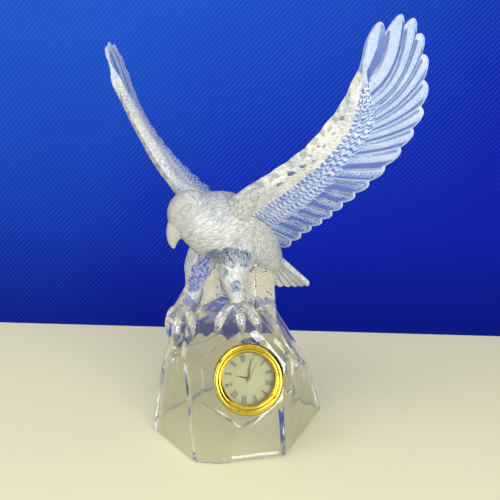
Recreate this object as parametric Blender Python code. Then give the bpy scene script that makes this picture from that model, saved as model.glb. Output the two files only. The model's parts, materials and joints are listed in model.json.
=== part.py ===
"""Crystal eagle landing on a faceted rock that holds a small round clock.

The eagle and its rock are one pressed piece of lead crystal. The rock is hollow from below, as
the plunger leaves it, with a thick cup round the clock. The clock is a bought insert: a case that
fills a bore in the rock's front facet, a rim, a lens, a dial and three hands.
Everything is in metres, +Z up, and drawn from the middle of the rock's foot. At the end it is moved
to its own frame, whose origin is the middle of the whole figurine's box, on the table.
"""

import math

import bmesh
import bpy
from mathutils import Matrix, Vector

# Driving sizes of the rock
BASE_REACH = 0.0485
BASE_CHAMFER = 0.0020
ROCK_TOP = 0.084
CRAG_RISE = 0.012
ROCK_FOOT_DEPTH = 0.029
ROCK_WALL = 0.005
HOLLOW_TOP = 0.072

# Driving sizes of the eagle
EAGLE_ACROSS = -0.0065
EAGLE_RISE = 0.0442
EAGLE_HEADING = 234.0
BODY_LENGTH = 0.118
HEAD_RADIUS = 0.0122
HEAD_TURN = -32.0
WING_LENGTH = 0.118
WING_CHORD = 0.048
WING_CAMBER = 0.003
WING_BOW = 0.011
WING_BONE = 0.0033
FEATHER_EDGE = 0.0011
FEATHER_FLUTE = 0.00075
COVERT_STEP = 0.0005
TIP_NOTCH = 0.0022
FINGER_NOTCH = 0.0016
WRIST_NOTCH = 0.0026
FEATHERS = 18
FINGERS = 8
TAIL_LENGTH = 0.040
TAIL_TUCK = 0.008
TAIL_ROOT = 0.005
TAIL_CROWN = 0.003
TAIL_THICKNESS = 0.0023
TAIL_TAPER = 0.0011
TAIL_FLUTE = 0.0005
TAIL_FEATHERS = 7
TAIL_SPREAD = 17.0
TAIL_DIP = 45.0
TAIL_ROLL = -12.0
TOE_THICKNESS = 0.0026

# Driving sizes of the clock
VISIBLE_DIAL = 0.0135
RIM_WIDTH = 0.0050
RIM_HEIGHT = 0.0040
BORE_DEPTH = 0.0105
FIT_GAP = 0.0003
DIAL_DEPTH = 0.0026
DIAL_THICKNESS = 0.0004
LENS_THICKNESS = 0.0010
HAND_THICKNESS = 0.0003
HUB_RADIUS = 0.0010
ARBOR_RADIUS = 0.0003
CLOCK_ACROSS = 0.0048
CLOCK_HEADING = -90.0
CLOCK_LEAN_ANGLE = 20.0
HOUR_ANGLE = 281.0
MINUTE_ANGLE = 6.0
SECOND_ANGLE = 27.0

# What follows from them: the clock's facet, its fits, and its stack from the dial up to the lens
CLOCK_PLACE = Vector((CLOCK_ACROSS, -0.69 * BASE_REACH, 0.5 * ROCK_TOP))
RIM_RADIUS = VISIBLE_DIAL + RIM_WIDTH
BORE_RADIUS = RIM_RADIUS - 0.22 * RIM_WIDTH
CASE_RADIUS = BORE_RADIUS - FIT_GAP
DIAL_RADIUS = VISIBLE_DIAL + 0.28 * RIM_WIDTH
SEAT_RADIUS = DIAL_RADIUS + FIT_GAP
HOUR_HAND = 0.51 * VISIBLE_DIAL
MINUTE_HAND = 0.78 * VISIBLE_DIAL
SECOND_HAND = 0.80 * VISIBLE_DIAL
SECOND_TAIL = 0.22 * VISIBLE_DIAL
HUB_HOLE = ARBOR_RADIUS + FIT_GAP
DIAL_BACK = FIT_GAP - DIAL_DEPTH
DIAL_FACE = DIAL_BACK + DIAL_THICKNESS
HAND_STEP = HAND_THICKNESS + FIT_GAP
ARBOR_TOP = DIAL_FACE + 3 * HAND_STEP + FIT_GAP
LENS_BACK = ARBOR_TOP + 2 * FIT_GAP
EAGLE_PLACE = Vector((EAGLE_ACROSS, 0.0, ROCK_TOP + EAGLE_RISE))

# The tables draw each form in millimetres at its real size, and these turn them into metres
REACH_UNIT = BASE_REACH / 48.5
HEIGHT_UNIT = ROCK_TOP / 84
CLOCK_UNIT = VISIBLE_DIAL / 13.5
BODY_UNIT = BODY_LENGTH / 118
HEAD_UNIT = HEAD_RADIUS / 12.2
WING_UNIT = WING_LENGTH / 118

# Mesh steps
ROUND_STEPS = 32
BODY_STEPS = 16
LIMB_STEPS = 12
TOE_STEPS = 8
FEATHER_STEPS = (0.0, 0.12, 0.40, 0.76)
# Each row's share of the coverts and of the flight feather that it has passed
WING_ROWS = ((0, 0), (0.16, 0), (0.45, 0), (0.53, 0), (0.96, 0), (1, 0.05), (1, 0.5), (1, 1))
TAIL_ROWS = (0.0, 0.3, 0.65, 1.0)


# Helpers

def heading(azimuth, lean=0.0):
    """The outward direction of a facet that faces azimuth and leans back by lean, in degrees."""
    turn = math.radians(azimuth)
    tilt = math.radians(lean)
    return Vector((math.cos(turn) * math.cos(tilt), math.sin(turn) * math.cos(tilt), math.sin(tilt)))


def rock_place(across, away, up):
    """A place on the rock, which moves with its reach and its height."""
    return Vector((across * REACH_UNIT, away * REACH_UNIT, up * HEIGHT_UNIT))


def smooth(share):
    share = min(max(share, 0.0), 1.0)
    return share * share * (3 - 2 * share)


def fade(share, end):
    """One at the start, falling to nothing at end."""
    return max(0.0, 1 - share / end)


class Route:
    """A smooth curve through a few points, read by its share of the whole length."""

    STEPS = 24

    def __init__(self, points):
        points = [Vector(point) for point in points]
        ends = [2 * points[0] - points[1]] + points + [2 * points[-1] - points[-2]]
        self.samples = [points[0]]
        for before, start, end, after in zip(ends, ends[1:], ends[2:], ends[3:]):
            for step in range(1, self.STEPS + 1):
                self.samples.append(self.between(before, start, end, after, step / self.STEPS))
        self.reach = [0.0]
        for start, end in zip(self.samples, self.samples[1:]):
            self.reach.append(self.reach[-1] + (end - start).length)

    @staticmethod
    def between(before, start, end, after, share):
        bend = 2 * before - 5 * start + 4 * end - after
        twist = -before + 3 * start - 3 * end + after
        return 0.5 * (2 * start + (end - before) * share + bend * share**2 + twist * share**3)

    def at(self, share):
        wanted = share * self.reach[-1]
        for index in range(1, len(self.reach)):
            if self.reach[index] >= wanted or index == len(self.reach) - 1:
                span = self.reach[index] - self.reach[index - 1]
                part = (wanted - self.reach[index - 1]) / span
                return self.samples[index - 1].lerp(self.samples[index], part)
        return self.samples[-1]


def clear_scene():
    for item in list(bpy.data.objects):
        bpy.data.objects.remove(item, do_unlink=True)


def material(name, colour, roughness, metallic=0.0, transmission=0.0):
    made = bpy.data.materials.new(name)
    made.use_nodes = True
    shader = made.node_tree.nodes["Principled BSDF"]
    shader.inputs["Base Color"].default_value = (*colour, 1.0)
    shader.inputs["Roughness"].default_value = roughness
    shader.inputs["Metallic"].default_value = metallic
    shader.inputs["Transmission Weight"].default_value = transmission
    return made


def add_object(name, bm, place=None, finish=None, round_angle=35.0):
    """Turns a closed bmesh into an object, facing out."""
    bmesh.ops.recalc_face_normals(bm, faces=bm.faces)
    if bm.calc_volume(signed=True) < 0:
        bmesh.ops.reverse_faces(bm, faces=bm.faces)
    mesh = bpy.data.meshes.new(name)
    bm.to_mesh(mesh)
    bm.free()
    mesh.shade_smooth()
    mesh.set_sharp_from_angle(angle=math.radians(round_angle))
    item = bpy.data.objects.new(name, mesh)
    bpy.context.scene.collection.objects.link(item)
    if place is not None:
        item.matrix_world = place
    if finish is not None:
        mesh.materials.append(finish)
    return item


def combine(target, others, operation):
    """Unites other shapes with the target, or cuts them from it, and removes them."""
    for other in others:
        modifier = target.modifiers.new(other.name, "BOOLEAN")
        modifier.operation = operation
        modifier.solver = "MANIFOLD"
        modifier.object = other
    bpy.context.view_layer.update()
    graph = bpy.context.evaluated_depsgraph_get()
    shaped = bpy.data.meshes.new_from_object(target.evaluated_get(graph))
    target.modifiers.clear()
    target.data = shaped
    for other in others:
        bpy.data.objects.remove(other, do_unlink=True)


def sharpen(item, angle):
    """Marks the edges that the unions made, where their faces turn by more than angle degrees."""
    bm = bmesh.new()
    bm.from_mesh(item.data)
    for edge in bm.edges:
        if edge.calc_face_angle(0.0) > math.radians(angle):
            edge.smooth = False
    bm.to_mesh(item.data)
    bm.free()


# Faceted rock

# Each facet's azimuth, lean, distance from the middle, and the height of that distance
ROCK_FACETS = [
    (0.0, -90.0, 0.0, 0.0),
    (-137.8, 8.0, 48.5, 0.0),
    (-97.0, 18.0, 48.5, 0.0),
    (-79.4, 7.0, 44.6, 0.0),
    (-28.5, 5.8, 41.0, 0.0),
    (-4.0, 15.0, 49.0, 0.0),
    (44.0, 17.0, 44.6, 0.0),
    (92.0, 13.0, 40.7, 0.0),
    (140.0, 12.0, 45.1, 0.0),
    (176.0, 9.0, 49.0, 0.0),
    (-97.0, 28.0, 26.8, 60.0),
    (-52.0, 40.0, 32.5, 57.0),
    (0.0, 33.0, 39.7, 34.3),
    (-150.0, 22.0, 40.0, 54.0),
    (178.0, 62.0, 20.0, 74.5),
    (30.0, 52.0, 17.0, 70.0),
    (115.0, 42.0, 24.0, 64.0),
    (-80.0, 66.0, 10.0, 80.0),
    (90.0, 88.0, 0.0, 84.0),
]
# The upright crag between the feet, which the eagle's belly and rump grow from
CRAG_FACETS = [
    (-2.0, 5.0, 20.5, 68.0),
    (-60.0, 12.0, 19.0, 72.0),
    (-100.0, 14.0, 14.5, 76.0),
    (180.0, 10.0, 21.5, 76.0),
    (140.0, 14.0, 26.0, 72.0),
    (92.0, 14.0, 26.0, 72.0),
    (38.0, 10.0, 27.0, 68.0),
]
# The corners of the cup round the clock, across and up the clock's facet from the clock's middle
CUP_CORNERS = [
    (-5.0, 24.0), (13.0, 22.0), (22.5, 11.0), (22.5, -12.0), (-4.5, -26.0), (-24.0, -13.0),
    (-25.0, 9.0),
]


def faceted(name, planes):
    """What is left of a block when each plane of (point, outward direction) has cut it."""
    bm = bmesh.new()
    bmesh.ops.create_cube(bm, size=4 * (BASE_REACH + ROCK_TOP))
    for point, outward in planes:
        whole = list(bm.verts) + list(bm.edges) + list(bm.faces)
        trimmed = bmesh.ops.bisect_plane(
            bm, geom=whole, plane_co=point, plane_no=outward, clear_outer=True
        )
        edges = [item for item in trimmed["geom_cut"] if isinstance(item, bmesh.types.BMEdge)]
        if edges:
            bmesh.ops.edgeloop_fill(bm, edges=edges)
    return add_object(name, bm, round_angle=1.0)


def planes_of(facets):
    planes = []
    for azimuth, lean, distance, height in facets:
        across = heading(azimuth) * distance
        planes.append((rock_place(across.x, across.y, height), heading(azimuth, lean)))
    return planes


def clock_plane():
    return CLOCK_PLACE, heading(CLOCK_HEADING, CLOCK_LEAN_ANGLE)


def make_rock():
    rock = faceted("rock", planes_of(ROCK_FACETS) + [clock_plane()])
    bm = bmesh.new()
    bm.from_mesh(rock.data)
    foot = [edge for edge in bm.edges if all(abs(vert.co.z) < 1e-6 for vert in edge.verts)]
    bmesh.ops.bevel(bm, geom=foot, offset=BASE_CHAMFER, segments=1, affect="EDGES")
    bm.to_mesh(rock.data)
    bm.free()
    crag_ends = [
        (Vector((0, 0, ROCK_TOP - ROCK_FOOT_DEPTH)), Vector((0, 0, -1))),
        (Vector((0, 0, ROCK_TOP + CRAG_RISE)), heading(EAGLE_HEADING - 180, 62)),
    ]
    combine(rock, [faceted("crag", planes_of(CRAG_FACETS) + crag_ends)], "UNION")
    return rock


def make_hollow():
    """The cutter of the hollow under the rock, which leaves its wall and the cup round the clock."""
    foot, *facets = planes_of(ROCK_FACETS) + [clock_plane()]
    point, downward = foot
    planes = [(point + downward * ROCK_WALL, downward), (Vector((0, 0, HOLLOW_TOP)), -downward)]
    for point, outward in facets:
        planes.append((point - outward * ROCK_WALL, outward))
    hollow = faceted("hollow", planes)
    place = clock_frame()
    behind = -BORE_DEPTH - ROCK_WALL
    rings = []
    for height in (behind, RIM_HEIGHT):
        rings.append([Vector((x * CLOCK_UNIT, y * CLOCK_UNIT, height)) for x, y in CUP_CORNERS])
    combine(hollow, [loft("cup", rings, place)], "DIFFERENCE")
    return hollow


# Shapes drawn out through rings

def loft(name, rings, place=None, round_angle=35.0):
    """A closed skin over rings of as many points each, with a flat cap at both ends."""
    bm = bmesh.new()
    rows = [[bm.verts.new(point) for point in ring] for ring in rings]
    count = len(rows[0])
    for first, second in zip(rows, rows[1:]):
        for index in range(count):
            after = (index + 1) % count
            bm.faces.new((first[index], first[after], second[after], second[index]))
    bm.faces.new(list(reversed(rows[0])))
    bm.faces.new(rows[-1])
    return add_object(name, bm, place, round_angle=round_angle)


def oval(centre, along, upward, half_width, half_height, steps):
    """An oval across the direction along, with its height near the direction upward."""
    forward = along.normalized()
    side = forward.cross(upward).normalized()
    top = side.cross(forward)
    points = []
    for step in range(steps):
        angle = 2 * math.pi * step / steps
        across = side * (half_width * math.cos(angle))
        points.append(centre + across + top * (half_height * math.sin(angle)))
    return points


def tube(name, stations, place, steps, upward=Vector((0, 0, 1))):
    """A loft through stations of (centre, half width, half height)."""
    rings = []
    for index, (centre, half_width, half_height) in enumerate(stations):
        before = stations[max(index - 1, 0)][0]
        after = stations[min(index + 1, len(stations) - 1)][0]
        rings.append(oval(centre, after - before, upward, half_width, half_height, steps))
    return loft(name, rings, place)


# The eagle's body and head

# Each station's place ahead, to the left and up, then its half width and half height
BODY_STATIONS = [
    (-46, 0, -46, 5.0, 4.0),
    (-43, 0, -43, 8.0, 7.0),
    (-36, 0, -37, 11.5, 11.0),
    (-24, 0, -27, 15.0, 16.0),
    (-8, 0, -16.5, 17.0, 19.0),
    (5, -0.5, -11, 17.0, 19.0),
    (15, -2.5, -7.5, 14.5, 16.5),
    (22, -5, -4.5, 12.5, 13.5),
    (27, -8, -2.5, 10.0, 11.0),
]
HEAD_MIDDLE = (24.3, -5.0, -2.0)
HEAD_BREADTH = 0.86
# Each oval's place ahead and up, the slant of its long axis, its half height and half width
BEAK_STATIONS = [
    (4.0, -3.5, 0.80, 0.60, 7.0, 6.0),
    (7.6, -7.6, 0.85, 0.52, 5.6, 4.4),
    (9.2, -10.6, 0.93, 0.36, 4.2, 3.3),
    (9.9, -13.4, 0.99, 0.10, 2.8, 2.3),
    (9.9, -15.8, 0.98, -0.15, 1.6, 1.5),
    (9.5, -17.4, 0.95, -0.30, 0.6, 0.7),
]
# Each station's place ahead, outward and up, and its radius
BROW_STATIONS = [
    (-1.0, 6.5, 6.2, 0.5),
    (3.5, 8.6, 4.8, 1.5),
    (7.0, 7.6, 2.4, 1.3),
    (10.2, 4.6, 0.2, 0.5),
]
# The eye's place ahead, outward and up, and its radius
EYE = (5.6, 8.0, 1.6, 1.9)


def eagle_frame():
    """The eagle's own frame: x ahead, y to its left, z up, from between its shoulders."""
    return Matrix.Translation(EAGLE_PLACE) @ Matrix.Rotation(math.radians(EAGLE_HEADING), 4, "Z")


def make_body(frame):
    stations = []
    for *centre, half_width, half_height in BODY_STATIONS:
        stations.append((Vector(centre) * BODY_UNIT, half_width * BODY_UNIT, half_height * BODY_UNIT))
    return tube("body", stations, frame, BODY_STEPS)


def head_frame(frame):
    """The head's frame: x along its face, from the middle of the skull."""
    middle = Matrix.Translation(Vector(HEAD_MIDDLE) * BODY_UNIT)
    return frame @ middle @ Matrix.Rotation(math.radians(HEAD_TURN), 4, "Z")


def make_skull(place):
    bm = bmesh.new()
    bmesh.ops.create_uvsphere(bm, u_segments=BODY_STEPS, v_segments=LIMB_STEPS, radius=HEAD_RADIUS)
    bmesh.ops.scale(bm, vec=(1.0, HEAD_BREADTH, 1.0), verts=bm.verts)
    return add_object("skull", bm, place)


def make_beak(place):
    """The hooked beak, as ovals whose long axis runs from the mouth's corner to the brow."""
    rings = []
    for ahead, up, axis_ahead, axis_up, half_height, half_width in BEAK_STATIONS:
        axis = Vector((axis_ahead, 0, axis_up)).normalized()
        points = []
        for step in range(LIMB_STEPS):
            angle = 2 * math.pi * step / LIMB_STEPS
            across = Vector((0, half_width * math.cos(angle), 0))
            lengthwise = axis * (half_height * math.sin(angle))
            points.append((Vector((ahead, 0, up)) + lengthwise + across) * HEAD_UNIT)
        rings.append(points)
    return loft("beak", rings, place)


def make_brow(place, side):
    """The ridge over one eye."""
    stations = []
    for ahead, outward, up, radius in BROW_STATIONS:
        centre = Vector((ahead, side * outward, up)) * HEAD_UNIT
        stations.append((centre, radius * HEAD_UNIT, radius * HEAD_UNIT))
    return tube(f"brow_{side}", stations, place, TOE_STEPS)


def make_eye(place, side):
    ahead, outward, up, radius = EYE
    bm = bmesh.new()
    bmesh.ops.create_uvsphere(
        bm, u_segments=TOE_STEPS, v_segments=TOE_STEPS, radius=radius * HEAD_UNIT
    )
    middle = Matrix.Translation(Vector((ahead, side * outward, up)) * HEAD_UNIT)
    return add_object(f"eye_{side}", bm, place @ middle)


def make_head(frame):
    place = head_frame(frame)
    return [
        make_skull(place),
        make_beak(place),
        make_brow(place, 1),
        make_brow(place, -1),
        make_eye(place, 1),
        make_eye(place, -1),
    ]


# Wings and tail, as sheets of feathers

# Every second feather's line from the leading edge to the body: where it leaves the bone, where it
# leaves the coverts and where it ends, each as a distance out along the span and one back from it
FEATHER_LINES = [
    (93.0, 0.0, 98.0, -3.6, 108.0, -8.6),
    (78.0, 2.8, 86.5, 11.2, 119.7, 4.6),
    (68.5, 3.0, 82.0, 17.8, 114.0, 20.6),
    (60.0, 3.0, 73.5, 22.3, 97.0, 35.6),
    (51.0, 2.2, 60.0, 23.8, 77.0, 41.2),
    (41.0, -0.1, 44.5, 25.0, 54.3, 42.4),
    (30.0, -3.1, 31.3, 26.2, 35.3, 42.2),
    (18.0, -5.8, 16.0, 26.0, 18.6, 43.0),
    (5.0, -7.4, 0.0, 25.5, 1.0, 43.4),
    (-8.0, -8.0, -17.0, 27.0, -20.0, 46.5),
]
BOW_PITCH = 39.0
# Each station's distance out and back along the wing, and its radius
SHOULDER_STATIONS = [(-6, 1, 9.0), (5, -2.0, 6.8), (18, -3.4, 4.4), (33, -0.8, 2.8)]
LEFT_WING = {
    "side": 1, "lift": 48.0, "pitch_root": 36.0, "pitch_tip": 44.0, "reach": 1.0,
    "shoulder": (4, 11, -2),
}
RIGHT_WING = {
    "side": -1, "lift": 50.5, "pitch_root": 19.0, "pitch_tip": 39.0, "reach": 1.035,
    "shoulder": (4, 12.5, -2),
}
TAIL_PLACE = (-36, 0, -36)


def wing_point(out, back, wing):
    """A point of the wing's middle sheet and the direction of its upper face."""
    unit = wing["reach"] * WING_UNIT
    span = out * WING_UNIT / WING_LENGTH
    lift = math.radians(wing["lift"])
    pitch_gain = wing["pitch_tip"] - wing["pitch_root"]
    pitch = math.radians(wing["pitch_root"] + pitch_gain * smooth(span))
    bow_pitch = math.radians(BOW_PITCH)
    along = Vector((-0.02, math.cos(lift), math.sin(lift)))
    inward = Vector((0, -math.sin(lift), math.cos(lift)))
    rearward = Vector((-1, 0, 0))
    chord = rearward * math.cos(pitch) - inward * math.sin(pitch)
    upper = inward * math.cos(pitch) + rearward * math.sin(pitch)
    bow = inward * math.cos(bow_pitch) + rearward * math.sin(bow_pitch)
    sag = -4 * WING_BOW * span * (1 - span)
    camber = WING_CAMBER * math.sin(math.pi * min(max(back * WING_UNIT / WING_CHORD, 0), 1))
    root = Vector(wing["shoulder"]) * BODY_UNIT
    place = root + (along * out + chord * back) * unit + bow * sag + upper * camber
    return place, upper


def sawtooth(share):
    """How high a feather stands over the one that it overlaps."""
    rise = 0.14
    return share / rise if share < rise else (1 - share) / (1 - rise)


def wing_relief(feather, coverts_passed, flight_passed, upper_side):
    """The height of the carved flight feathers and of two rows of coverts over the sheet."""
    across = feather % 1.0
    if not upper_side:
        across = 1 - across
    flute = FEATHER_FLUTE * sawtooth(across) * smooth(flight_passed / 0.3)
    coverts = COVERT_STEP * ((coverts_passed < 0.5) + (coverts_passed < 1.0))
    return flute + coverts


def tip_notch(feather):
    """How far the gap beside a feather's tip cuts in: deepest between the leading fingers."""
    return TIP_NOTCH + WRIST_NOTCH * fade(feather, 3) + FINGER_NOTCH * fade(feather, FINGERS)


class FeatherLine:
    """A curve over the wing's sheet from the bone, through the edge of the coverts, to the tip."""

    def __init__(self, share):
        place = share * (len(FEATHER_LINES) - 1)
        index = min(int(place), len(FEATHER_LINES) - 2)
        rows = [Vector(row) for row in FEATHER_LINES]
        rows = [2 * rows[0] - rows[1]] + rows + [2 * rows[-1] - rows[-2]]
        *root, knee_out, knee_back, tip_out, tip_back = Route.between(
            *rows[index:index + 4], place - index
        )
        self.root = Vector(root)
        self.knee = Vector((knee_out, knee_back))
        self.tip = Vector((tip_out, tip_back))
        feather = share * FEATHERS
        off_centre = abs(2 * (feather % 1.0) - 1)
        notch = tip_notch(feather) / WING_UNIT * off_centre**2
        self.tip -= (self.tip - self.knee).normalized() * notch
        arm = (self.knee - self.root).length
        self.knee_share = arm / (arm + (self.tip - self.knee).length)

    def at(self, share):
        knee = self.knee_share
        from_root = (share - knee) * (share - 1) / knee
        from_knee = share * (1 - share) / (knee * (1 - knee))
        from_tip = share * (share - knee) / (1 - knee)
        return self.root * from_root + self.knee * from_knee + self.tip * from_tip


def wing_ring(share, wing):
    """One closed section through the wing, from a feather's tip round the bone and back."""
    line = FeatherLine(share)
    feather = share * FEATHERS
    bone = WING_BONE * (1.0 - 0.3 * fade(share, 0.5))
    upper_points = []
    lower_points = []
    for coverts_passed, flight_passed in WING_ROWS:
        row = line.knee_share * coverts_passed + (1 - line.knee_share) * flight_passed
        spot = line.at(row)
        centre, upper = wing_point(spot.x, spot.y, wing)
        half = FEATHER_EDGE * (1 - 0.35 * row) + (bone - FEATHER_EDGE) * fade(row, 0.55) ** 1.4
        if row == 0.0:
            half *= 0.72
        above = half + wing_relief(feather, coverts_passed, flight_passed, True) * 0.6
        below = half + wing_relief(feather, coverts_passed, flight_passed, False)
        upper_points.append(centre + upper * above)
        lower_points.append(centre - upper * below)
    nose, _ = wing_point(line.root.x, line.root.y - 0.8 * bone / WING_UNIT, wing)
    points = list(reversed(upper_points)) + [nose] + lower_points
    return [Vector((point.x, wing["side"] * point.y, point.z)) for point in points]


def feather_shares(feathers):
    """Where the columns of a feathered sheet stand, as shares of its breadth."""
    shares = [(feather + step) / feathers for feather in range(feathers) for step in FEATHER_STEPS]
    shares.append(0.99999)
    return shares


def make_wing(frame, name, wing):
    rings = [wing_ring(share, wing) for share in feather_shares(FEATHERS)]
    return loft(name, rings, frame, round_angle=20.0)


def make_shoulder(frame, name, wing):
    """The muscle that carries the wing's bone into the body."""
    stations = []
    for out, back, radius in SHOULDER_STATIONS:
        centre, _ = wing_point(out, back, wing)
        centre.y *= wing["side"]
        stations.append((centre, radius * BODY_UNIT, radius * BODY_UNIT))
    return tube(name, stations, frame, LIMB_STEPS, upward=Vector((1, 0, 0)))


def tail_ring(share):
    """One section along a tail feather, in the tail's own frame: x back, y left, z up."""
    across = share * TAIL_FEATHERS % 1.0
    fan = 2 * share - 1
    base = Vector((-TAIL_TUCK, TAIL_ROOT * fan, 0))
    length = TAIL_LENGTH * (1 - 0.07 * fan**2) - TIP_NOTCH * (2 * across - 1) ** 2
    spread = math.radians(TAIL_SPREAD) * fan
    tip = base + Vector((math.cos(spread), math.sin(spread), 0)) * (length + TAIL_TUCK)
    above = []
    below = []
    for row in TAIL_ROWS:
        spot = base.lerp(tip, row)
        crown = TAIL_CROWN * (1 - fan**2) * (1 - 0.4 * row)
        half = TAIL_THICKNESS - TAIL_TAPER * row
        flute = TAIL_FLUTE * smooth(row / 0.4)
        above.append(spot + Vector((0, 0, crown + half + flute * sawtooth(across))))
        below.append(spot + Vector((0, 0, crown - half - flute * sawtooth(1 - across))))
    return list(reversed(above)) + below


def make_tail(frame):
    root = Matrix.Translation(Vector(TAIL_PLACE) * BODY_UNIT)
    backward = Matrix.Rotation(math.pi, 4, "Z")
    dip = Matrix.Rotation(math.radians(TAIL_DIP), 4, "Y")
    roll = Matrix.Rotation(math.radians(TAIL_ROLL), 4, "X")
    rings = [tail_ring(share) for share in feather_shares(TAIL_FEATHERS)]
    return loft("tail", rings, frame @ root @ backward @ dip @ roll, round_angle=20.0)


# Legs in the eagle's frame, and toes that hold the rock

# Each station's place ahead, to the left and up, and its radius
RIGHT_LEG = [
    (9, -8, -23, 9.0), (7.5, -12, -34, 10.5), (8, -13.5, -42, 9.5), (11.5, -14.5, -48.5, 7.2),
    (18.5, -15.5, -53, 4.9), (25, -15.5, -58, 4.4),
]
LEFT_LEG = [
    (2, 8, -21, 10), (8, 10.5, -30, 9), (12, 12.5, -37, 6.5), (12.8, 14.5, -43, 4.5),
    (12, 15.3, -49, 4.0), (11, 15.5, -56, 3.6),
]
RIGHT_TOES = [
    [(-33, -10, 72), (-37.5, -13, 70.5), (-38.8, -13.8, 63.5), (-39.3, -13.6, 57)],
    [(-33, -11, 72), (-33, -18.5, 70.5), (-33.8, -23, 64), (-34.3, -24.2, 57)],
    [(-33, -11, 72), (-28, -16, 72.5), (-25.7, -21.8, 67), (-25.3, -25.2, 60)],
]
LEFT_TOES = [
    [(-1, -17, 77), (5, -21.5, 76), (9, -25, 70), (11.5, -26.5, 63.5)],
    [(-1, -17, 77), (0, -24, 75.5), (1, -27.3, 70), (1.5, -28, 64)],
    [(-1, -17, 77), (-7, -21, 75.5), (-11, -25.3, 69), (-12.5, -27, 62.5)],
]
TOE_WIDTHS = (1.0, 1.05, 0.85, 0.95, 0.7, 0.12)


def make_leg(frame, name, rows):
    stations = []
    for *centre, radius in rows:
        stations.append((Vector(centre) * BODY_UNIT, radius * BODY_UNIT, radius * BODY_UNIT))
    return tube(name, stations, frame, LIMB_STEPS, upward=Vector((1, 0, 0)))


def make_toe(name, points):
    """A toe that arches off the foot and ends in a talon."""
    route = Route([rock_place(*point) for point in points])
    stations = []
    for index, width in enumerate(TOE_WIDTHS):
        radius = TOE_THICKNESS * width
        stations.append((route.at(index / (len(TOE_WIDTHS) - 1)), radius, radius))
    return tube(name, stations, Matrix.Identity(4), TOE_STEPS)


def make_eagle():
    """All the eagle's shapes, still apart."""
    frame = eagle_frame()
    shapes = [make_body(frame)] + make_head(frame)
    for name, wing in (("left", LEFT_WING), ("right", RIGHT_WING)):
        shapes.append(make_shoulder(frame, f"{name}_shoulder", wing))
        shapes.append(make_wing(frame, f"{name}_wing", wing))
    shapes.append(make_tail(frame))
    shapes.append(make_leg(frame, "right_leg", RIGHT_LEG))
    shapes.append(make_leg(frame, "left_leg", LEFT_LEG))
    for name, toes in (("right_toe", RIGHT_TOES), ("left_toe", LEFT_TOES)):
        for number, points in enumerate(toes):
            shapes.append(make_toe(f"{name}_{number}", points))
    return shapes


# The clock insert

def clock_frame():
    """The clock's frame: its z comes out of the facet, and y points up the facet."""
    outward = heading(CLOCK_HEADING, CLOCK_LEAN_ANGLE)
    across = Vector((0, 0, 1)).cross(outward).normalized()
    upward = outward.cross(across)
    turn = Matrix((across, upward, outward)).transposed().to_4x4()
    return Matrix.Translation(CLOCK_PLACE) @ turn


def turned(name, profile, place, finish=None):
    """A profile of (radius, height) turned round the clock's axis."""
    bm = bmesh.new()
    verts = [bm.verts.new((radius, 0, height)) for radius, height in profile]
    pairs = list(zip(verts, verts[1:]))
    if profile[0][0] > 0:
        pairs.append((verts[-1], verts[0]))
    edges = [bm.edges.new(pair) for pair in pairs]
    bmesh.ops.spin(
        bm, geom=verts + edges, cent=(0, 0, 0), axis=(0, 0, 1), angle=2 * math.pi,
        steps=ROUND_STEPS, use_merge=True,
    )
    bmesh.ops.remove_doubles(bm, verts=bm.verts, dist=1e-7)
    return add_object(name, bm, place, finish)


def make_bore(place):
    """The cutter of the blind bore that takes the case."""
    above = RIM_HEIGHT
    profile = [(0.0, above), (BORE_RADIUS, above), (BORE_RADIUS, -BORE_DEPTH), (0.0, -BORE_DEPTH)]
    return turned("bore", profile, place)


def make_case(place, finish):
    """The movement's case, with the dial's seat and the arbor that the hands turn on."""
    profile = [
        (0.0, ARBOR_TOP),
        (ARBOR_RADIUS, ARBOR_TOP),
        (ARBOR_RADIUS, -DIAL_DEPTH),
        (SEAT_RADIUS, -DIAL_DEPTH),
        (SEAT_RADIUS, 0.0),
        (CASE_RADIUS, 0.0),
        (CASE_RADIUS, FIT_GAP - BORE_DEPTH),
        (0.0, FIT_GAP - BORE_DEPTH),
    ]
    return turned("clock_case", profile, place, finish)


def make_rim(place, finish):
    """The gold rim: a rounded outer ring, a groove, and a slope down to the dial."""
    shares = [
        (0.06, 0.25), (0.0, 0.40), (0.05, 0.62), (0.20, 0.90), (0.38, 1.0), (0.56, 0.90),
        (0.64, 0.74), (0.76, 0.70), (1.0, 0.42),
    ]
    profile = [(VISIBLE_DIAL, FIT_GAP), (RIM_RADIUS - 0.06 * RIM_WIDTH, FIT_GAP)]
    for inward, rise in shares:
        profile.append((RIM_RADIUS - inward * RIM_WIDTH, rise * RIM_HEIGHT))
    return turned("clock_rim", profile, place, finish)


def make_lens(place, finish):
    radius = VISIBLE_DIAL - FIT_GAP
    lens_face = LENS_BACK + LENS_THICKNESS
    profile = [(0.0, LENS_BACK), (radius, LENS_BACK), (radius, lens_face), (0.0, lens_face)]
    return turned("clock_lens", profile, place, finish)


def make_dial(place, finish):
    profile = [
        (HUB_HOLE, DIAL_BACK), (DIAL_RADIUS, DIAL_BACK), (DIAL_RADIUS, DIAL_FACE),
        (HUB_HOLE, DIAL_FACE),
    ]
    return turned("clock_dial", profile, place, finish)


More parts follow.
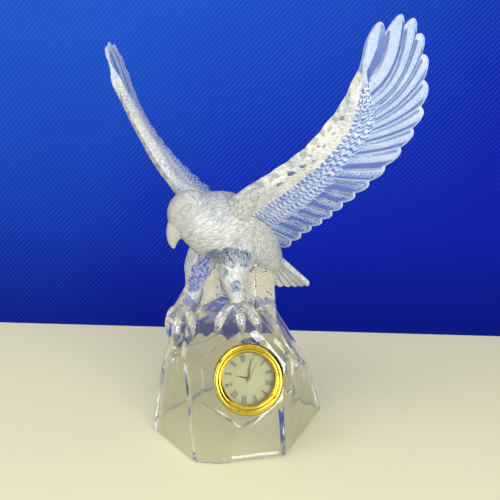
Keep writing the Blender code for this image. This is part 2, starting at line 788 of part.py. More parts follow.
def hand_outline(length, half_width, tail):
    """A round hub with a tapered blade up from it and, on some, a tail."""
    steps = ROUND_STEPS // 2
    root_turn = math.asin(half_width / HUB_RADIUS)
    root = HUB_RADIUS * math.cos(root_turn)
    tip_width = 0.35 * half_width
    left = []
    for step in range(1, steps // 2):
        turn = math.pi * step / (steps // 2)
        left.append(Vector((-HUB_RADIUS * math.sin(turn), HUB_RADIUS * math.cos(turn), 0)))
    right = [Vector((-point.x, point.y, 0)) for point in reversed(left)]
    blade = [(half_width, root), (tip_width, length), (-tip_width, length), (-half_width, root)]
    foot = [(0.0, -HUB_RADIUS)]
    if tail:
        foot = [(-half_width, -root), (-half_width, -tail), (half_width, -tail), (half_width, -root)]
    blade = [Vector((*point, 0)) for point in blade]
    foot = [Vector((*point, 0)) for point in foot]
    return blade + left + foot + right


def make_hand(name, place, finish, level, angle, length, half_width, tail=0.0):
    """A flat hand round the arbor, turned clockwise from the top of the clock by its angle."""
    bm = bmesh.new()
    outline = [bm.verts.new(point) for point in hand_outline(length, half_width, tail)]
    hole = []
    for step in range(LIMB_STEPS):
        turn = 2 * math.pi * step / LIMB_STEPS
        hole.append(bm.verts.new((HUB_HOLE * math.cos(turn), HUB_HOLE * math.sin(turn), 0)))
    edges = []
    for loop in (outline, hole):
        for first, second in zip(loop, loop[1:] + loop[:1]):
            edges.append(bm.edges.new((first, second)))
    bmesh.ops.triangle_fill(bm, edges=edges, use_beauty=True)
    raised = bmesh.ops.extrude_face_region(bm, geom=list(bm.faces))
    moved = [item for item in raised["geom"] if isinstance(item, bmesh.types.BMVert)]
    bmesh.ops.translate(bm, vec=(0, 0, HAND_THICKNESS), verts=moved)
    low = Matrix.Translation((0, 0, DIAL_FACE + FIT_GAP + level * HAND_STEP))
    turn = Matrix.Rotation(-math.radians(angle), 4, "Z")
    return add_object(name, bm, place @ low @ turn, finish)


def move_to_frame(crystal):
    """Moves every piece so that the origin is the middle of the crystal's box, at its foot."""
    corners = [Vector(corner) for corner in crystal.bound_box]
    middle = (corners[0] + corners[6]) / 2
    for item in bpy.data.objects:
        item.matrix_world = Matrix.Translation((-middle.x, -middle.y, 0)) @ item.matrix_world


def main():
    clear_scene()
    crystal_finish = material("lead crystal", (0.93, 0.96, 1.0), 0.25, transmission=1.0)
    gold_finish = material("polished gold plate", (0.95, 0.62, 0.16), 0.12, metallic=1.0)
    dial_finish = material("cream dial", (0.82, 0.86, 0.70), 0.5)
    lens_finish = material("clock glass", (1.0, 1.0, 1.0), 0.02, transmission=1.0)
    case_finish = material("grey clock case", (0.25, 0.25, 0.25), 0.5)

    place = clock_frame()
    crystal = make_rock()
    crystal.name = "crystal_eagle"
    combine(crystal, make_eagle(), "UNION")
    combine(crystal, [make_bore(place), make_hollow()], "DIFFERENCE")
    sharpen(crystal, 32)
    crystal.data.materials.clear()
    crystal.data.materials.append(crystal_finish)

    make_case(place, case_finish)
    make_rim(place, gold_finish)
    make_lens(place, lens_finish)
    make_dial(place, dial_finish)
    make_hand("hour_hand", place, gold_finish, 0, HOUR_ANGLE, HOUR_HAND, 0.45 * HUB_RADIUS)
    make_hand("minute_hand", place, gold_finish, 1, MINUTE_ANGLE, MINUTE_HAND, 0.35 * HUB_RADIUS)
    make_hand("second_hand", place, gold_finish, 2, SECOND_ANGLE, SECOND_HAND, 0.15 * HUB_RADIUS,
              SECOND_TAIL)
    move_to_frame(crystal)


main()
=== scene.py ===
"""Crystal eagle figurine with a clock: its fine carving, its finishes, and a plain studio.

Each form is drawn in millimetres in its own frame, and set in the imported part's frame in metres.
"""

import json
import math

import bmesh
import bpy
import numpy as np
from bpy.props import FloatProperty, FloatVectorProperty, IntProperty, PointerProperty
from mathutils import Matrix, Vector


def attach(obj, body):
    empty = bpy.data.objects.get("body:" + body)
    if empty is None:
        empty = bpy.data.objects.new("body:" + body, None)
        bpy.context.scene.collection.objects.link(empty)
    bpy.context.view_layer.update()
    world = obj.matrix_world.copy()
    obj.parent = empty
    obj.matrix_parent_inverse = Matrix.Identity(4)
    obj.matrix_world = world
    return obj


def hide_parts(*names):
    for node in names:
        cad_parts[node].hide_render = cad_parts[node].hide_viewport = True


bl_info = {
    "name": "Crystal Eagle Figurine",
    "version": (1, 0, 0),
    "blender": (4, 5, 0),
    "location": "View3D > Sidebar > Figurine",
    "description": "Carves the crystal eagle and finishes the crystal, the clock and the studio",
    "category": "Object",
}

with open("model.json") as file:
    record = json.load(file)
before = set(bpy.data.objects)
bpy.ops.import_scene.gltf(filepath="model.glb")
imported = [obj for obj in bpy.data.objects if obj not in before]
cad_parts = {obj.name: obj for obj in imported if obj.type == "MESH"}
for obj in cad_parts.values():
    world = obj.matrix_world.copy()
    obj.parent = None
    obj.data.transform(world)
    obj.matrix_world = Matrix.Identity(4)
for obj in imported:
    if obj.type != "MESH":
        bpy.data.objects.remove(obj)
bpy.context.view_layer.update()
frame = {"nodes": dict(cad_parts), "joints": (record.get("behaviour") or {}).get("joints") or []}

MILLIMETRE = 0.001
CLOCK_JOINT = next(joint for joint in frame["joints"] if joint["name"] == "minute_turn")
# The clock's place from the middle of the rock's foot, which the rock and the eagle are drawn from
CLOCK_MIDDLE = Vector((4.8, -33.465, 42.0))
ROCK_ORIGIN = Vector(CLOCK_JOINT["pos_m"]) - CLOCK_MIDDLE * MILLIMETRE


# Sizes and colours that a user would change

def length(name, description, default):
    """A size in millimetres, as the tables below draw their forms."""
    return FloatProperty(name=name, description=description, default=default, min=0.0, precision=3)


def angle(name, description, degrees):
    return FloatProperty(
        name=name, description=description, default=math.radians(degrees), subtype="ANGLE"
    )


def colour(name, description, default):
    return FloatVectorProperty(
        name=name, description=description, default=default, subtype="COLOR", min=0.0, max=1.0
    )


def share(name, description, default):
    return FloatProperty(
        name=name, description=description, default=default, min=0.0, max=1.0, subtype="FACTOR"
    )


class RockSizes(bpy.types.PropertyGroup):
    """Sizes of the faceted rock."""

    top: length("Top", "Height of the rock's shoulder over the table", 84.0)
    crag_rise: length("Crag rise", "Height of the crag over the shoulder", 12.0)
    crag_foot: length("Crag foot", "Depth of the crag's foot under the shoulder", 29.0)
    foot_chamfer: length("Foot chamfer", "Bevel round the underside", 2.0)
    facet_bevel: length("Facet bevel", "Rounding of the edges between facets", 0.5)
    wall: length("Wall", "Thickness of the rock's wall round its hollow", 5.0)
    hollow_height: length("Hollow height", "How far the hollow reaches up from the table", 72.0)
    hollow_bevel: length("Hollow bevel", "Rounding of the hollow's edges", 1.2)


class EagleSizes(bpy.types.PropertyGroup):
    """Where the eagle stands, and the depth of its carved feathers."""

    across: FloatProperty(name="Across", description="Sideways place of its shoulders", default=-6.5)
    rise: length("Rise", "Height of the shoulders over the rock's shoulder", 44.2)
    heading: angle("Heading", "Which way the body points", 234.0)
    head_turn: angle("Head turn", "How far the head turns to its right", -32.0)
    head_radius: length("Head radius", "Half the height of the skull", 12.2)
    head_breadth: share("Head breadth", "Breadth of the skull over its height", 0.86)
    down_depth: length("Down depth", "Relief of the small body feathers", 0.34)
    down_length: length("Down length", "Length of one body feather", 4.4)
    down_rows: IntProperty(name="Down columns", description="Body feathers round the body", default=24)


class WingSizes(bpy.types.PropertyGroup):
    """Sizes of the wings' sheets and of their carving."""

    span: length("Span", "Length over which the wing bends and turns", 118.0)
    chord: length("Chord", "Breadth over which the wing is arched", 48.0)
    camber: length("Camber", "Height of the arch across the wing", 3.0)
    bow: length("Bow", "Sag of the wing along its length", 11.0)
    bow_pitch: angle("Bow pitch", "Direction of the sag", 39.0)
    bone: length("Bone", "Half the thickness of the leading edge", 3.3)
    edge: length("Edge", "Half the thickness at the feather tips", 1.1)
    flute: length("Flute", "How high a flight feather stands over the next", 0.35)
    blade: length("Blade", "Height of the raised blade of each flight feather", 0.5)
    shaft: length("Shaft", "Height of the shaft line on each blade", 0.16)
    sunk: length("Sunk", "How far the grooves lie under the solid's plain sheet", 0.3)
    knuckle: length("Knuckle", "Height of the bumps along the leading edge", 0.5)
    knuckle_pitch: length("Knuckle pitch", "Distance between the bumps", 10.0)
    covert_step: length("Covert step", "Height of each row of covert feathers", 0.5)
    barb: length("Barb", "Height of the barbs on the covert feathers", 0.16)
    tip_notch: length("Tip notch", "Depth of the gap between feather tips", 2.2)
    wrist_notch: length("Wrist notch", "Extra gap between the leading fingers", 2.6)
    finger_notch: length("Finger notch", "Extra gap between all the fingers", 1.6)


class TailSizes(bpy.types.PropertyGroup):
    """Sizes of the tail's fan."""

    reach: length("Reach", "Length of the tail behind the rump", 40.0)
    tuck: length("Tuck", "How far the tail runs into the rump", 8.0)
    root: length("Root", "Half the breadth at the root", 5.0)
    crown: length("Crown", "Height of the fan's arch", 3.0)
    thickness: length("Thickness", "Half the thickness at the root", 2.3)
    taper: length("Taper", "Loss of half thickness towards the tips", 1.1)
    flute: length("Flute", "Depth of the grooves between feathers", 0.5)
    spread: angle("Spread", "Half the angle of the fan", 17.0)
    dip: angle("Dip", "How far the tail points down", 45.0)
    roll: angle("Roll", "Turn of the fan about its length", -12.0)


class CrystalLooks(bpy.types.PropertyGroup):
    """Finish of the crystal."""

    satin_colour: colour("Satin", "Colour of the frosted crystal", (0.80, 0.78, 0.64))
    # A lighter copy of the body's satin: painted light on the arms of the wings and on the tail
    arm_colour_with_painted_light: colour("Arm", "Colour of the arms of the wings", (0.95, 0.94, 0.84))
    # A darker copy of the body's satin on the smooth head: painted shade that takes off light the head
    # gets; the ground back of the foot's bevel shares it
    skin_colour_with_painted_shade: colour("Skin", "Colour of the smooth head", (0.46, 0.44, 0.33))
    # Dark tone of the satin: random grain, and painted shade in the hollows between the down's strokes
    satin_grain_and_painted_shade: colour("Satin shade", "Colour of its hollows", (0.40, 0.43, 0.50))
    feather_colour: colour("Feathers", "Colour of the flight feathers' blades", (0.87, 0.89, 0.91))
    # Dark tone of the feathers: random grain, and painted shade with the painted blue of the backdrop seen
    # through, laid on the barbs
    feather_grain_and_painted_shade: colour("Feather shade", "Colour of the lines on them", (0.42, 0.58, 0.88))
    clear_colour: colour("Clear", "Tint of the polished crystal", (0.85, 0.845, 0.76))
    veil_colour: colour("Veil", "Tint of the half clear hollows", (0.70, 0.88, 1.0))
    mist_colour: colour("Mist", "Tint of the feet and the crag", (0.97, 0.95, 0.85))
    # Painted blue of the backdrop seen through the polished crystal, as the windows' colour
    window_painted_backdrop: colour("Windows", "Tint of the polished places on the body", (0.10, 0.20, 0.52))
    satin_clearness: share("Satin clearness", "Light that the frosted crystal lets through", 0.22)
    feather_clearness: share("Feather clearness", "Light that the flight feathers let through", 0.5)
    covert_clearness: share("Covert clearness", "Light that the coverts let through", 0.3)
    mist_clearness: share("Mist clearness", "Light that the feet and the crag let through", 0.88)
    veil_clearness: share("Veil clearness", "Light that the half clear hollows let through", 0.93)
    window_clearness: share("Window clearness", "Light that the polished places let through", 0.75)
    satin_roughness: share("Satin roughness", "Roughness of the frosted crystal", 0.45)
    veil_roughness: share("Veil roughness", "Roughness of the half clear hollows", 0.24)
    mist_roughness: share("Mist roughness", "Roughness of the feet, the crag and the windows", 0.12)
    clear_roughness: share("Clear roughness", "Roughness of the polished crystal", 0.015)
    bending: FloatProperty(name="IOR", description="Refractive index of lead crystal", default=1.54)


class ClockLooks(bpy.types.PropertyGroup):
    """Colours and lettering of the clock."""

    gold: colour("Gold", "Colour of the plated rim and hands", (0.70, 0.515, 0.065))
    dial: colour("Dial", "Colour of the dial", (0.305, 0.315, 0.155))
    print_colour: colour("Print", "Colour of the numerals", (0.02, 0.02, 0.03))
    case: colour("Case", "Colour of the movement's case", (0.62, 0.61, 0.57))
    dial_turn: angle("Dial turn", "How far the dial is turned in its seat, clockwise", -17.5)
    numeral_height: length("Numeral height", "Height of the numerals", 3.4)
    numeral_ring: share("Numeral ring", "Radius of the numerals over that of the visible dial", 0.83)
    inner_ring: share("Inner ring", "Radius of the thin circle over that of the dial", 0.63)
    stroke: length("Stroke", "Breadth of a thin stroke", 0.24)


class StageLooks(bpy.types.PropertyGroup):
    """The plain studio."""

    floor: colour("Floor", "Colour of the floor", (0.705, 0.668, 0.44))
    backdrop: colour("Backdrop", "Colour of the cloth behind", (0.012, 0.108, 0.62))
    # The backdrop's tone where its painted shade is deepest, low down and to the right
    backdrop_painted_shade: colour("Dusk", "Colour of the cloth low down, where it is dark", (0.0005, 0.011, 0.40))
    key: FloatProperty(name="Key light", description="Power of the overhead softbox", default=3.4)
    fill: FloatProperty(name="Fill light", description="Power of the fill light", default=9.5)
    side: FloatProperty(name="Side light", description="Power of the light from the left", default=1.8)


GROUPS = {
    "rock": RockSizes,
    "eagle": EagleSizes,
    "wing": WingSizes,
    "tail": TailSizes,
    "crystal": CrystalLooks,
    "clock": ClockLooks,
    "stage": StageLooks,
}


def settings(name):
    return getattr(bpy.context.scene, f"figurine_{name}")


# Places and directions

def toward(azimuth, lean=0.0):
    """The outward direction of a facet that faces azimuth and leans back by lean, in degrees."""
    turn = math.radians(azimuth)
    tilt = math.radians(lean)
    return Vector((math.cos(turn) * math.cos(tilt), math.sin(turn) * math.cos(tilt), math.sin(tilt)))


def smooth(value):
    value = min(max(value, 0.0), 1.0)
    return value * value * (3 - 2 * value)


def fade(value, end):
    """One at the start, falling to nothing at end."""
    return max(0.0, 1 - value / end)


def plateau(value, start, end, soft):
    """One between start and end, falling smoothly to nothing within soft on either side."""
    return smooth((value - start) / soft + 0.5) * smooth((end - value) / soft + 0.5)


def ridge(value, middle, half_width):
    return smooth(1 - abs(value - middle) / half_width)


def scatter(*numbers):
    """A fixed number from 0 to 1 for each set of whole numbers."""
    total = sum(number * step for number, step in zip(numbers, (127.1, 311.7, 74.7)))
    return math.sin(total) * 43758.5453 % 1.0


def between(rows, place):
    """The numbers at a share of the way along rows of numbers, on a smooth curve through them."""
    rows = [np.array(row, float) for row in rows]
    ends = [2 * rows[0] - rows[1]] + rows + [2 * rows[-1] - rows[-2]]
    index = min(int(place * (len(rows) - 1)), len(rows) - 2)
    part = place * (len(rows) - 1) - index
    before, start, end, after = ends[index:index + 4]
    bend = 2 * before - 5 * start + 4 * end - after
    twist = -before + 3 * start - 3 * end + after
    return 0.5 * (2 * start + (end - before) * part + bend * part**2 + twist * part**3)


class Route:
    """A smooth curve through a few points, read by its share of the whole length."""

    STEPS = 240

    def __init__(self, points):
        self.samples = [Vector(between(points, step / self.STEPS)) for step in range(self.STEPS + 1)]
        self.reach = [0.0]
        for start, end in zip(self.samples, self.samples[1:]):
            self.reach.append(self.reach[-1] + (end - start).length)

    def at(self, place):
        wanted = place * self.reach[-1]
        index = min(max(int(np.searchsorted(self.reach, wanted)), 1), self.STEPS)
        span = self.reach[index] - self.reach[index - 1]
        part = (wanted - self.reach[index - 1]) / span
        return self.samples[index - 1].lerp(self.samples[index], part)


# Shader groups and materials

NUMBER = "NodeSocketFloat"
TONE = "NodeSocketColor"
# The crystal's finishes by the number that a face carries, in the order of crystal_materials
CLEAR, VEIL, FEATHER, PLUME, DOWN, SKIN, MIST, WINDOW, ARM = range(9)
# Heights over the table, in metres, between which the pressed waves grow, and how deep they get
WAVES_GROW = (0.040, 0.078)
WAVES_DEPTH = (1.0, 16.0)
# Where the shaft runs, as a share of a feather's breadth
SHAFT_PLACE = 0.36
# The values of noise between which the frost turns from its light tone to its dark one
FROST_TURN = (0.12, 0.42)
# The frost's least roughness over the given one, and what its clouds add to that
FROST_LEAST = 0.85
FROST_CLOUDS = 0.3
# The values of noise between which the ground turns into a stroke of the down
STROKE_TURN = (0.42, 0.58)


def link(tree, source, target):
    tree.links.new(source, target)


def feed(tree, target, value):
    """Links another node's output to an input, or sets the input to a plain value."""
    if isinstance(value, bpy.types.NodeSocket):
        link(tree, value, target)
    else:
        target.default_value = value


def add_node(tree, kind, **values):
    """A shader node with some of its settings and inputs filled in."""
    node = tree.nodes.new(kind)
    for name, value in values.items():
        if name in node.inputs:
            feed(tree, node.inputs[name], value)
        else:
            setattr(node, name, value)
    return node


def fill_in(tree, node, **values):
    """Fills a node's inputs from sockets or plain values. An underscore stands for a space."""
    for name, value in values.items():
        feed(tree, node.inputs[name.replace("_", " ")], value)


def maths(tree, operation, *values):
    """A Math node on sockets or plain numbers, as its output socket."""
    node = add_node(tree, "ShaderNodeMath", operation=operation)
    for index, value in enumerate(values):
        feed(tree, node.inputs[index], value)
    return node.outputs[0]


def ranged(tree, value, source=(0.0, 1.0), target=(0.0, 1.0)):
    """A value brought from one range to another, and held within it."""
    node = add_node(tree, "ShaderNodeMapRange", Value=value)
    node.inputs["From Min"].default_value, node.inputs["From Max"].default_value = source
    node.inputs["To Min"].default_value, node.inputs["To Max"].default_value = target
    return node.outputs["Result"]


def blended(tree, share_of_second, first, second, blend_type="MIX"):
    """Two colours, as sockets or as plain red, green and blue, mixed by a share."""
    node = add_node(tree, "ShaderNodeMix", data_type="RGBA", blend_type=blend_type)
    link(tree, share_of_second, node.inputs["Factor"])
    for name, tone in (("A", first), ("B", second)):
        feed(tree, node.inputs[name], tone if isinstance(tone, bpy.types.NodeSocket) else (*tone, 1))
    return node.outputs["Result"]


def object_noise(tree, **values):
    """The value of a noise over the object's own coordinates."""
    place = add_node(tree, "ShaderNodeTexCoord").outputs["Object"]
    return add_node(tree, "ShaderNodeTexNoise", Vector=place, **values).outputs["Fac"]


def object_parts(tree):
    """The outputs X, Y and Z of the object's own coordinates."""
    place = add_node(tree, "ShaderNodeTexCoord").outputs["Object"]
    return add_node(tree, "ShaderNodeSeparateXYZ", Vector=place).outputs


def plumage_parts(tree):
    """The outputs X and Y of the plumage map."""
    place = add_node(tree, "ShaderNodeUVMap", uv_map="plumage").outputs["UV"]
    return add_node(tree, "ShaderNodeSeparateXYZ", Vector=place).outputs


def new_group(name, inputs, outputs):
    """An empty shader group with its named sockets, what comes into it and what leaves it."""
    group = bpy.data.node_groups.new(name, "ShaderNodeTree")
    for socket, kind, default in inputs:
        made = group.interface.new_socket(socket, in_out="INPUT", socket_type=kind)
        made.default_value = default
    for socket, kind in outputs:
        group.interface.new_socket(socket, in_out="OUTPUT", socket_type=kind)
    return group, group.nodes.new("NodeGroupInput").outputs, group.nodes.new("NodeGroupOutput").inputs


def frost_group():
    """Sandblasted grain: two tones, an uneven roughness and a fine height."""
    group, given, result = new_group(
        "Frost grain",
        [
            ("Light tone", TONE, (0.9, 0.9, 0.85, 1)),
            ("Dark tone", TONE, (0.7, 0.7, 0.7, 1)),
            ("Roughness", NUMBER, 0.4),
            ("Grain", NUMBER, 900.0),
            ("Cloud", NUMBER, 70.0),
        ],
        [("Color", TONE), ("Roughness", NUMBER), ("Height", NUMBER)],
    )
    grain = object_noise(group, Scale=given["Grain"], Detail=2.0, Roughness=0.6)
    cloud = object_noise(group, Scale=given["Cloud"], Detail=3.0, Roughness=0.55)
    darkness = ranged(group, maths(group, "MULTIPLY", cloud, grain), FROST_TURN)
    uneven = maths(group, "MULTIPLY_ADD", cloud, FROST_CLOUDS, FROST_LEAST)
    link(group, blended(group, darkness, given["Light tone"], given["Dark tone"]), result["Color"])
    link(group, maths(group, "MULTIPLY", given["Roughness"], uneven), result["Roughness"])
    link(group, grain, result["Height"])


def barb_group():
    """Fine carved lines that slant away from each feather's shaft, by the feather coordinates.

    The map's u counts feathers and their breadth, and its v is the distance along them in mm.
    """
    group, given, result = new_group(
        "Feather barbs",
        [("Pitch", NUMBER, 1.1), ("Slant", NUMBER, 4.0), ("Shaft", NUMBER, SHAFT_PLACE)],
        [("Height", NUMBER), ("Mask", NUMBER)],
    )
    parts = plumage_parts(group)
    across = maths(group, "FRACT", parts["X"])
    off_shaft = maths(group, "ABSOLUTE", maths(group, "SUBTRACT", across, given["Shaft"]))
    along = maths(group, "SUBTRACT", parts["Y"], maths(group, "MULTIPLY", off_shaft, given["Slant"]))
    turns = maths(group, "DIVIDE", along, given["Pitch"])
    wave = maths(group, "SINE", maths(group, "MULTIPLY", turns, 2 * math.pi))
    height = maths(group, "MULTIPLY", maths(group, "ADD", wave, 1.0), 0.5)
    link(group, height, result["Height"])
    # The mask marks the barbs' crests, which the satin paints in its dark tone as painted shade and painted
    # backdrop blue
    link(group, maths(group, "POWER", height, 2.0), result["Mask"])


def stroke_group():
    """Short carved strokes that run along the body, as on down."""
    group, given, result = new_group(
        "Down strokes",
        [("Length", NUMBER, 0.35), ("Breadth", NUMBER, 1.5)],
        [("Height", NUMBER), ("Mask", NUMBER)],
    )
    parts = plumage_parts(group)
    stretched = add_node(
        group, "ShaderNodeCombineXYZ",
        X=maths(group, "MULTIPLY", parts["X"], given["Breadth"]),
        Y=maths(group, "MULTIPLY", parts["Y"], given["Length"]),
    ).outputs["Vector"]
    noise = add_node(
        group, "ShaderNodeTexNoise", Vector=stretched, Scale=1.0, Detail=2.0, Roughness=0.5
    ).outputs["Fac"]
    strokes = ranged(group, noise, STROKE_TURN)
    link(group, strokes, result["Height"])
    # The mask marks the low ground between the strokes, which the satin paints in its dark tone as painted
    # shade
    link(group, maths(group, "SUBTRACT", 1.0, strokes), result["Mask"])


def new_material(name):
    made = bpy.data.materials.new(name)
    made.use_nodes = True
    tree = made.node_tree
    return made, tree, tree.nodes["Principled BSDF"]


def place_group(tree, name, **values):
    """One of the shader groups with its values filled in, as its outputs."""
    node = add_node(tree, "ShaderNodeGroup", node_tree=bpy.data.node_groups[name])
    fill_in(tree, node, **values)
    return node.outputs


def let_lamps_through(tree, shader, tint):
    """Lamps shine through the crystal on to what is behind it."""
    path = add_node(tree, "ShaderNodeLightPath")
    open_side = add_node(tree, "ShaderNodeBsdfTransparent", Color=(*tint, 1))
    mix = add_node(tree, "ShaderNodeMixShader", Fac=path.outputs["Is Shadow Ray"])
    link(tree, shader.outputs["BSDF"], mix.inputs[1])
    link(tree, open_side.outputs["BSDF"], mix.inputs[2])
    link(tree, mix.outputs["Shader"], tree.nodes["Material Output"].inputs["Surface"])


def raise_surface(tree, shader, relief, strength, distance):
    bump = add_node(tree, "ShaderNodeBump", Height=relief, Strength=strength, Distance=distance)
    link(tree, bump.outputs["Normal"], shader.inputs["Normal"])


def satin_material(name, pattern, strength, clearness, tones, **pitches):
    """Frosted crystal in a light and a dark tone, with the carving of its part, barbs or down, whose mask
    lays on the dark tone as painted shade.
    """
    looks = settings("crystal")
    light, dark = tones
    made, tree, shader = new_material(name)
    grain = place_group(
        tree, "Frost grain", Light_tone=(*light, 1), Dark_tone=(*dark, 1), Roughness=looks.satin_roughness
    )
    carving = place_group(tree, pattern, **pitches)
    # Painted shade: the carving's mask lays the dark tone on the carving's hollows and lines
    lines = maths(tree, "MULTIPLY", carving["Mask"], strength)
    relief = maths(tree, "MULTIPLY_ADD", grain["Height"], 0.3, carving["Height"])
    raise_surface(tree, shader, relief, strength=0.5, distance=0.00018)
    fill_in(
        tree, shader, Base_Color=blended(tree, lines, grain["Color"], dark, "MULTIPLY"),
        Roughness=grain["Roughness"], IOR=looks.bending, Transmission_Weight=clearness,
    )
    return made


def half_clear_material(name, tint, clearness, roughness, ripple_depth, ripple_scale):
    """Crystal with a thin bloom on it, and pressed ripples."""
    made, tree, shader = new_material(name)
    grain = place_group(tree, "Frost grain", Roughness=roughness, Grain=600.0)
    ripples = object_noise(tree, Scale=ripple_scale, Detail=1.0, Distortion=0.8)
    relief = maths(tree, "MULTIPLY_ADD", grain["Height"], 0.1, ripples)
    raise_surface(tree, shader, relief, strength=ripple_depth, distance=0.001)
    fill_in(
        tree, shader, Base_Color=(*tint, 1), Roughness=grain["Roughness"],
        IOR=settings("crystal").bending, Transmission_Weight=clearness,
    )
    return made


def window_material():
    """Polished places on the eagle, which satin strokes cross, in a painted dark blue that stands for the
    backdrop seen through them.
    """
    looks = settings("crystal")
    made, tree, shader = new_material("window_crystal")
    strokes = place_group(tree, "Down strokes", Length=0.32, Breadth=0.95)["Height"]
    raise_surface(tree, shader, strokes, strength=0.7, distance=0.0004)
    fill_in(
        tree, shader, Base_Color=blended(tree, strokes, looks.window_painted_backdrop, looks.feather_colour),
        Roughness=ranged(tree, strokes, target=(looks.mist_roughness, looks.satin_roughness)),
        IOR=looks.bending, Transmission_Weight=looks.window_clearness,
    )
    return made


def clear_material():
    """Polished lead crystal, with the waves that pressing leaves, deeper towards the feet."""
    looks = settings("crystal")
    made, tree, shader = new_material("clear_crystal")
    waves = object_noise(tree, Scale=55.0, Detail=1.0)
    depth = ranged(tree, object_parts(tree)["Z"], WAVES_GROW, WAVES_DEPTH)
    raise_surface(tree, shader, maths(tree, "MULTIPLY", waves, depth), strength=0.3, distance=0.002)
    smudges = ranged(tree, waves, target=(looks.clear_roughness, 3 * looks.clear_roughness))
    fill_in(
        tree, shader, Base_Color=(*looks.clear_colour, 1), Roughness=smudges, IOR=looks.bending,
        Transmission_Weight=1.0,
    )
    let_lamps_through(tree, shader, tint=(0.6, 0.6, 0.6))
    return made


def crystal_materials():
    """The crystal's finishes, in the order of their numbers."""
    looks = settings("crystal")
    frost_group()
    barb_group()
    stroke_group()
    body_tones = (looks.satin_colour, looks.satin_grain_and_painted_shade)
    arm_tones_with_painted_light = (looks.arm_colour_with_painted_light, looks.satin_grain_and_painted_shade)
    skin_tones_with_painted_shade = (looks.skin_colour_with_painted_shade, looks.satin_grain_and_painted_shade)
    feather_tones = (looks.feather_colour, looks.feather_grain_and_painted_shade)
    satin = looks.satin_clearness
    return [
        clear_material(),
        half_clear_material(
            "veiled_crystal", looks.veil_colour, looks.veil_clearness, looks.veil_roughness,
            ripple_depth=0.15, ripple_scale=300.0,
        ),
        satin_material(
            "satin_flight_feathers", "Feather barbs", strength=0.45, clearness=looks.feather_clearness,
            tones=feather_tones,
        ),
        satin_material(
            "satin_coverts", "Feather barbs", strength=0.4, clearness=looks.covert_clearness,
            tones=feather_tones,
        ),
        satin_material("satin_down", "Down strokes", strength=0.75, clearness=satin, tones=body_tones),
        satin_material("satin_skin", "Down strokes", strength=0.2, clearness=satin, tones=skin_tones_with_painted_shade),
        half_clear_material(
            "misted_crystal", looks.mist_colour, looks.mist_clearness, looks.mist_roughness,
            ripple_depth=0.6, ripple_scale=260.0,
        ),
        window_material(),
        satin_material(
            "satin_arm", "Down strokes", strength=0.55, clearness=satin, tones=arm_tones_with_painted_light,
            Length=0.5, Breadth=7.0,
        ),
    ]


# Solid forms

def add_object(name, content, place=None):
    """An object of a mesh, a lamp or a camera."""
    item = bpy.data.objects.new(name, content)
    bpy.context.scene.collection.objects.link(item)
    if place is not None:
        item.matrix_world = place
    return item


def drawn(bm, name, place=None):
    """The object of a finished drawing."""
    mesh = bpy.data.meshes.new(name)
    bm.to_mesh(mesh)
    bm.free()
    return add_object(name, mesh, place)


def blank_rings(rows, steps):
    """Room for the points of a skin's rings, and for their places in its map."""
    return np.zeros((rows, steps, 3)), np.zeros((rows, steps + 1, 2))


def skin(name, rings, coordinates, finishes, place):
    """A closed skin over rings of as many points each, with a flat cap at both ends.

    Coordinates has one place more round each ring than rings has, so that a map can go round it.
    Finishes has the material's number of each face.
    """
    rows, count, _ = rings.shape
    mesh = bpy.data.meshes.new(name)
    faces = []
    corners = []
    for row in range(rows - 1):
        for step in range(count):
            after = (step + 1) % count
            first = row * count
            second = first + count
            faces.append((first + step, first + after, second + after, second + step))
            corners += [(row, step), (row, step + 1), (row + 1, step + 1), (row + 1, step)]
    last = (rows - 1) * count
    faces.append(tuple(reversed(range(count))))
    faces.append(tuple(range(last, last + count)))
    corners += [(0, step) for step in reversed(range(count))]
    corners += [(rows - 1, step) for step in range(count)]
    mesh.from_pydata((rings.reshape(-1, 3) * MILLIMETRE).tolist(), [], faces)
    flat_map = mesh.uv_layers.new(name="plumage")
    spots = np.array([coordinates[row][step] for row, step in corners], np.float32)
    flat_map.data.foreach_set("uv", spots.reshape(-1))
    numbers = [int(number) for number in finishes.reshape(-1)]
    numbers += [numbers[0], numbers[-1]]
    mesh.polygons.foreach_set("material_index", numbers)
    bm = bmesh.new()
    bm.from_mesh(mesh)
    bmesh.ops.recalc_face_normals(bm, faces=bm.faces)
    if bm.calc_volume(signed=True) < 0:
        bmesh.ops.reverse_faces(bm, faces=bm.faces)
    bm.to_mesh(mesh)
    bm.free()
    mesh.shade_smooth()
    return add_object(name, mesh, place)


def combine(target, others, operation):
    """Unites other shapes with the target, or cuts them from it, and removes them."""
    for other in others:
        modifier = target.modifiers.new(other.name, "BOOLEAN")
        modifier.operation = operation
        modifier.solver = "MANIFOLD"
        modifier.object = other
    bpy.context.view_layer.update()
    shaped = bpy.data.meshes.new_from_object(
        target.evaluated_get(bpy.context.evaluated_depsgraph_get())
    )
    target.modifiers.clear()
    target.data = shaped
    for other in others:
        bpy.data.objects.remove(other, do_unlink=True)


def rock_frame():
    """The frame that the rock is drawn in, at the middle of its foot."""
    return Matrix.Translation(ROCK_ORIGIN)


def finish_with(item, finishes):
    """Fills an object's material slots in order, and keeps the number that each face carries."""
    numbers = [face.material_index for face in item.data.polygons]
    item.data.materials.clear()
    for finish in finishes:
        item.data.materials.append(finish)
    item.data.polygons.foreach_set("material_index", numbers)


# The rock

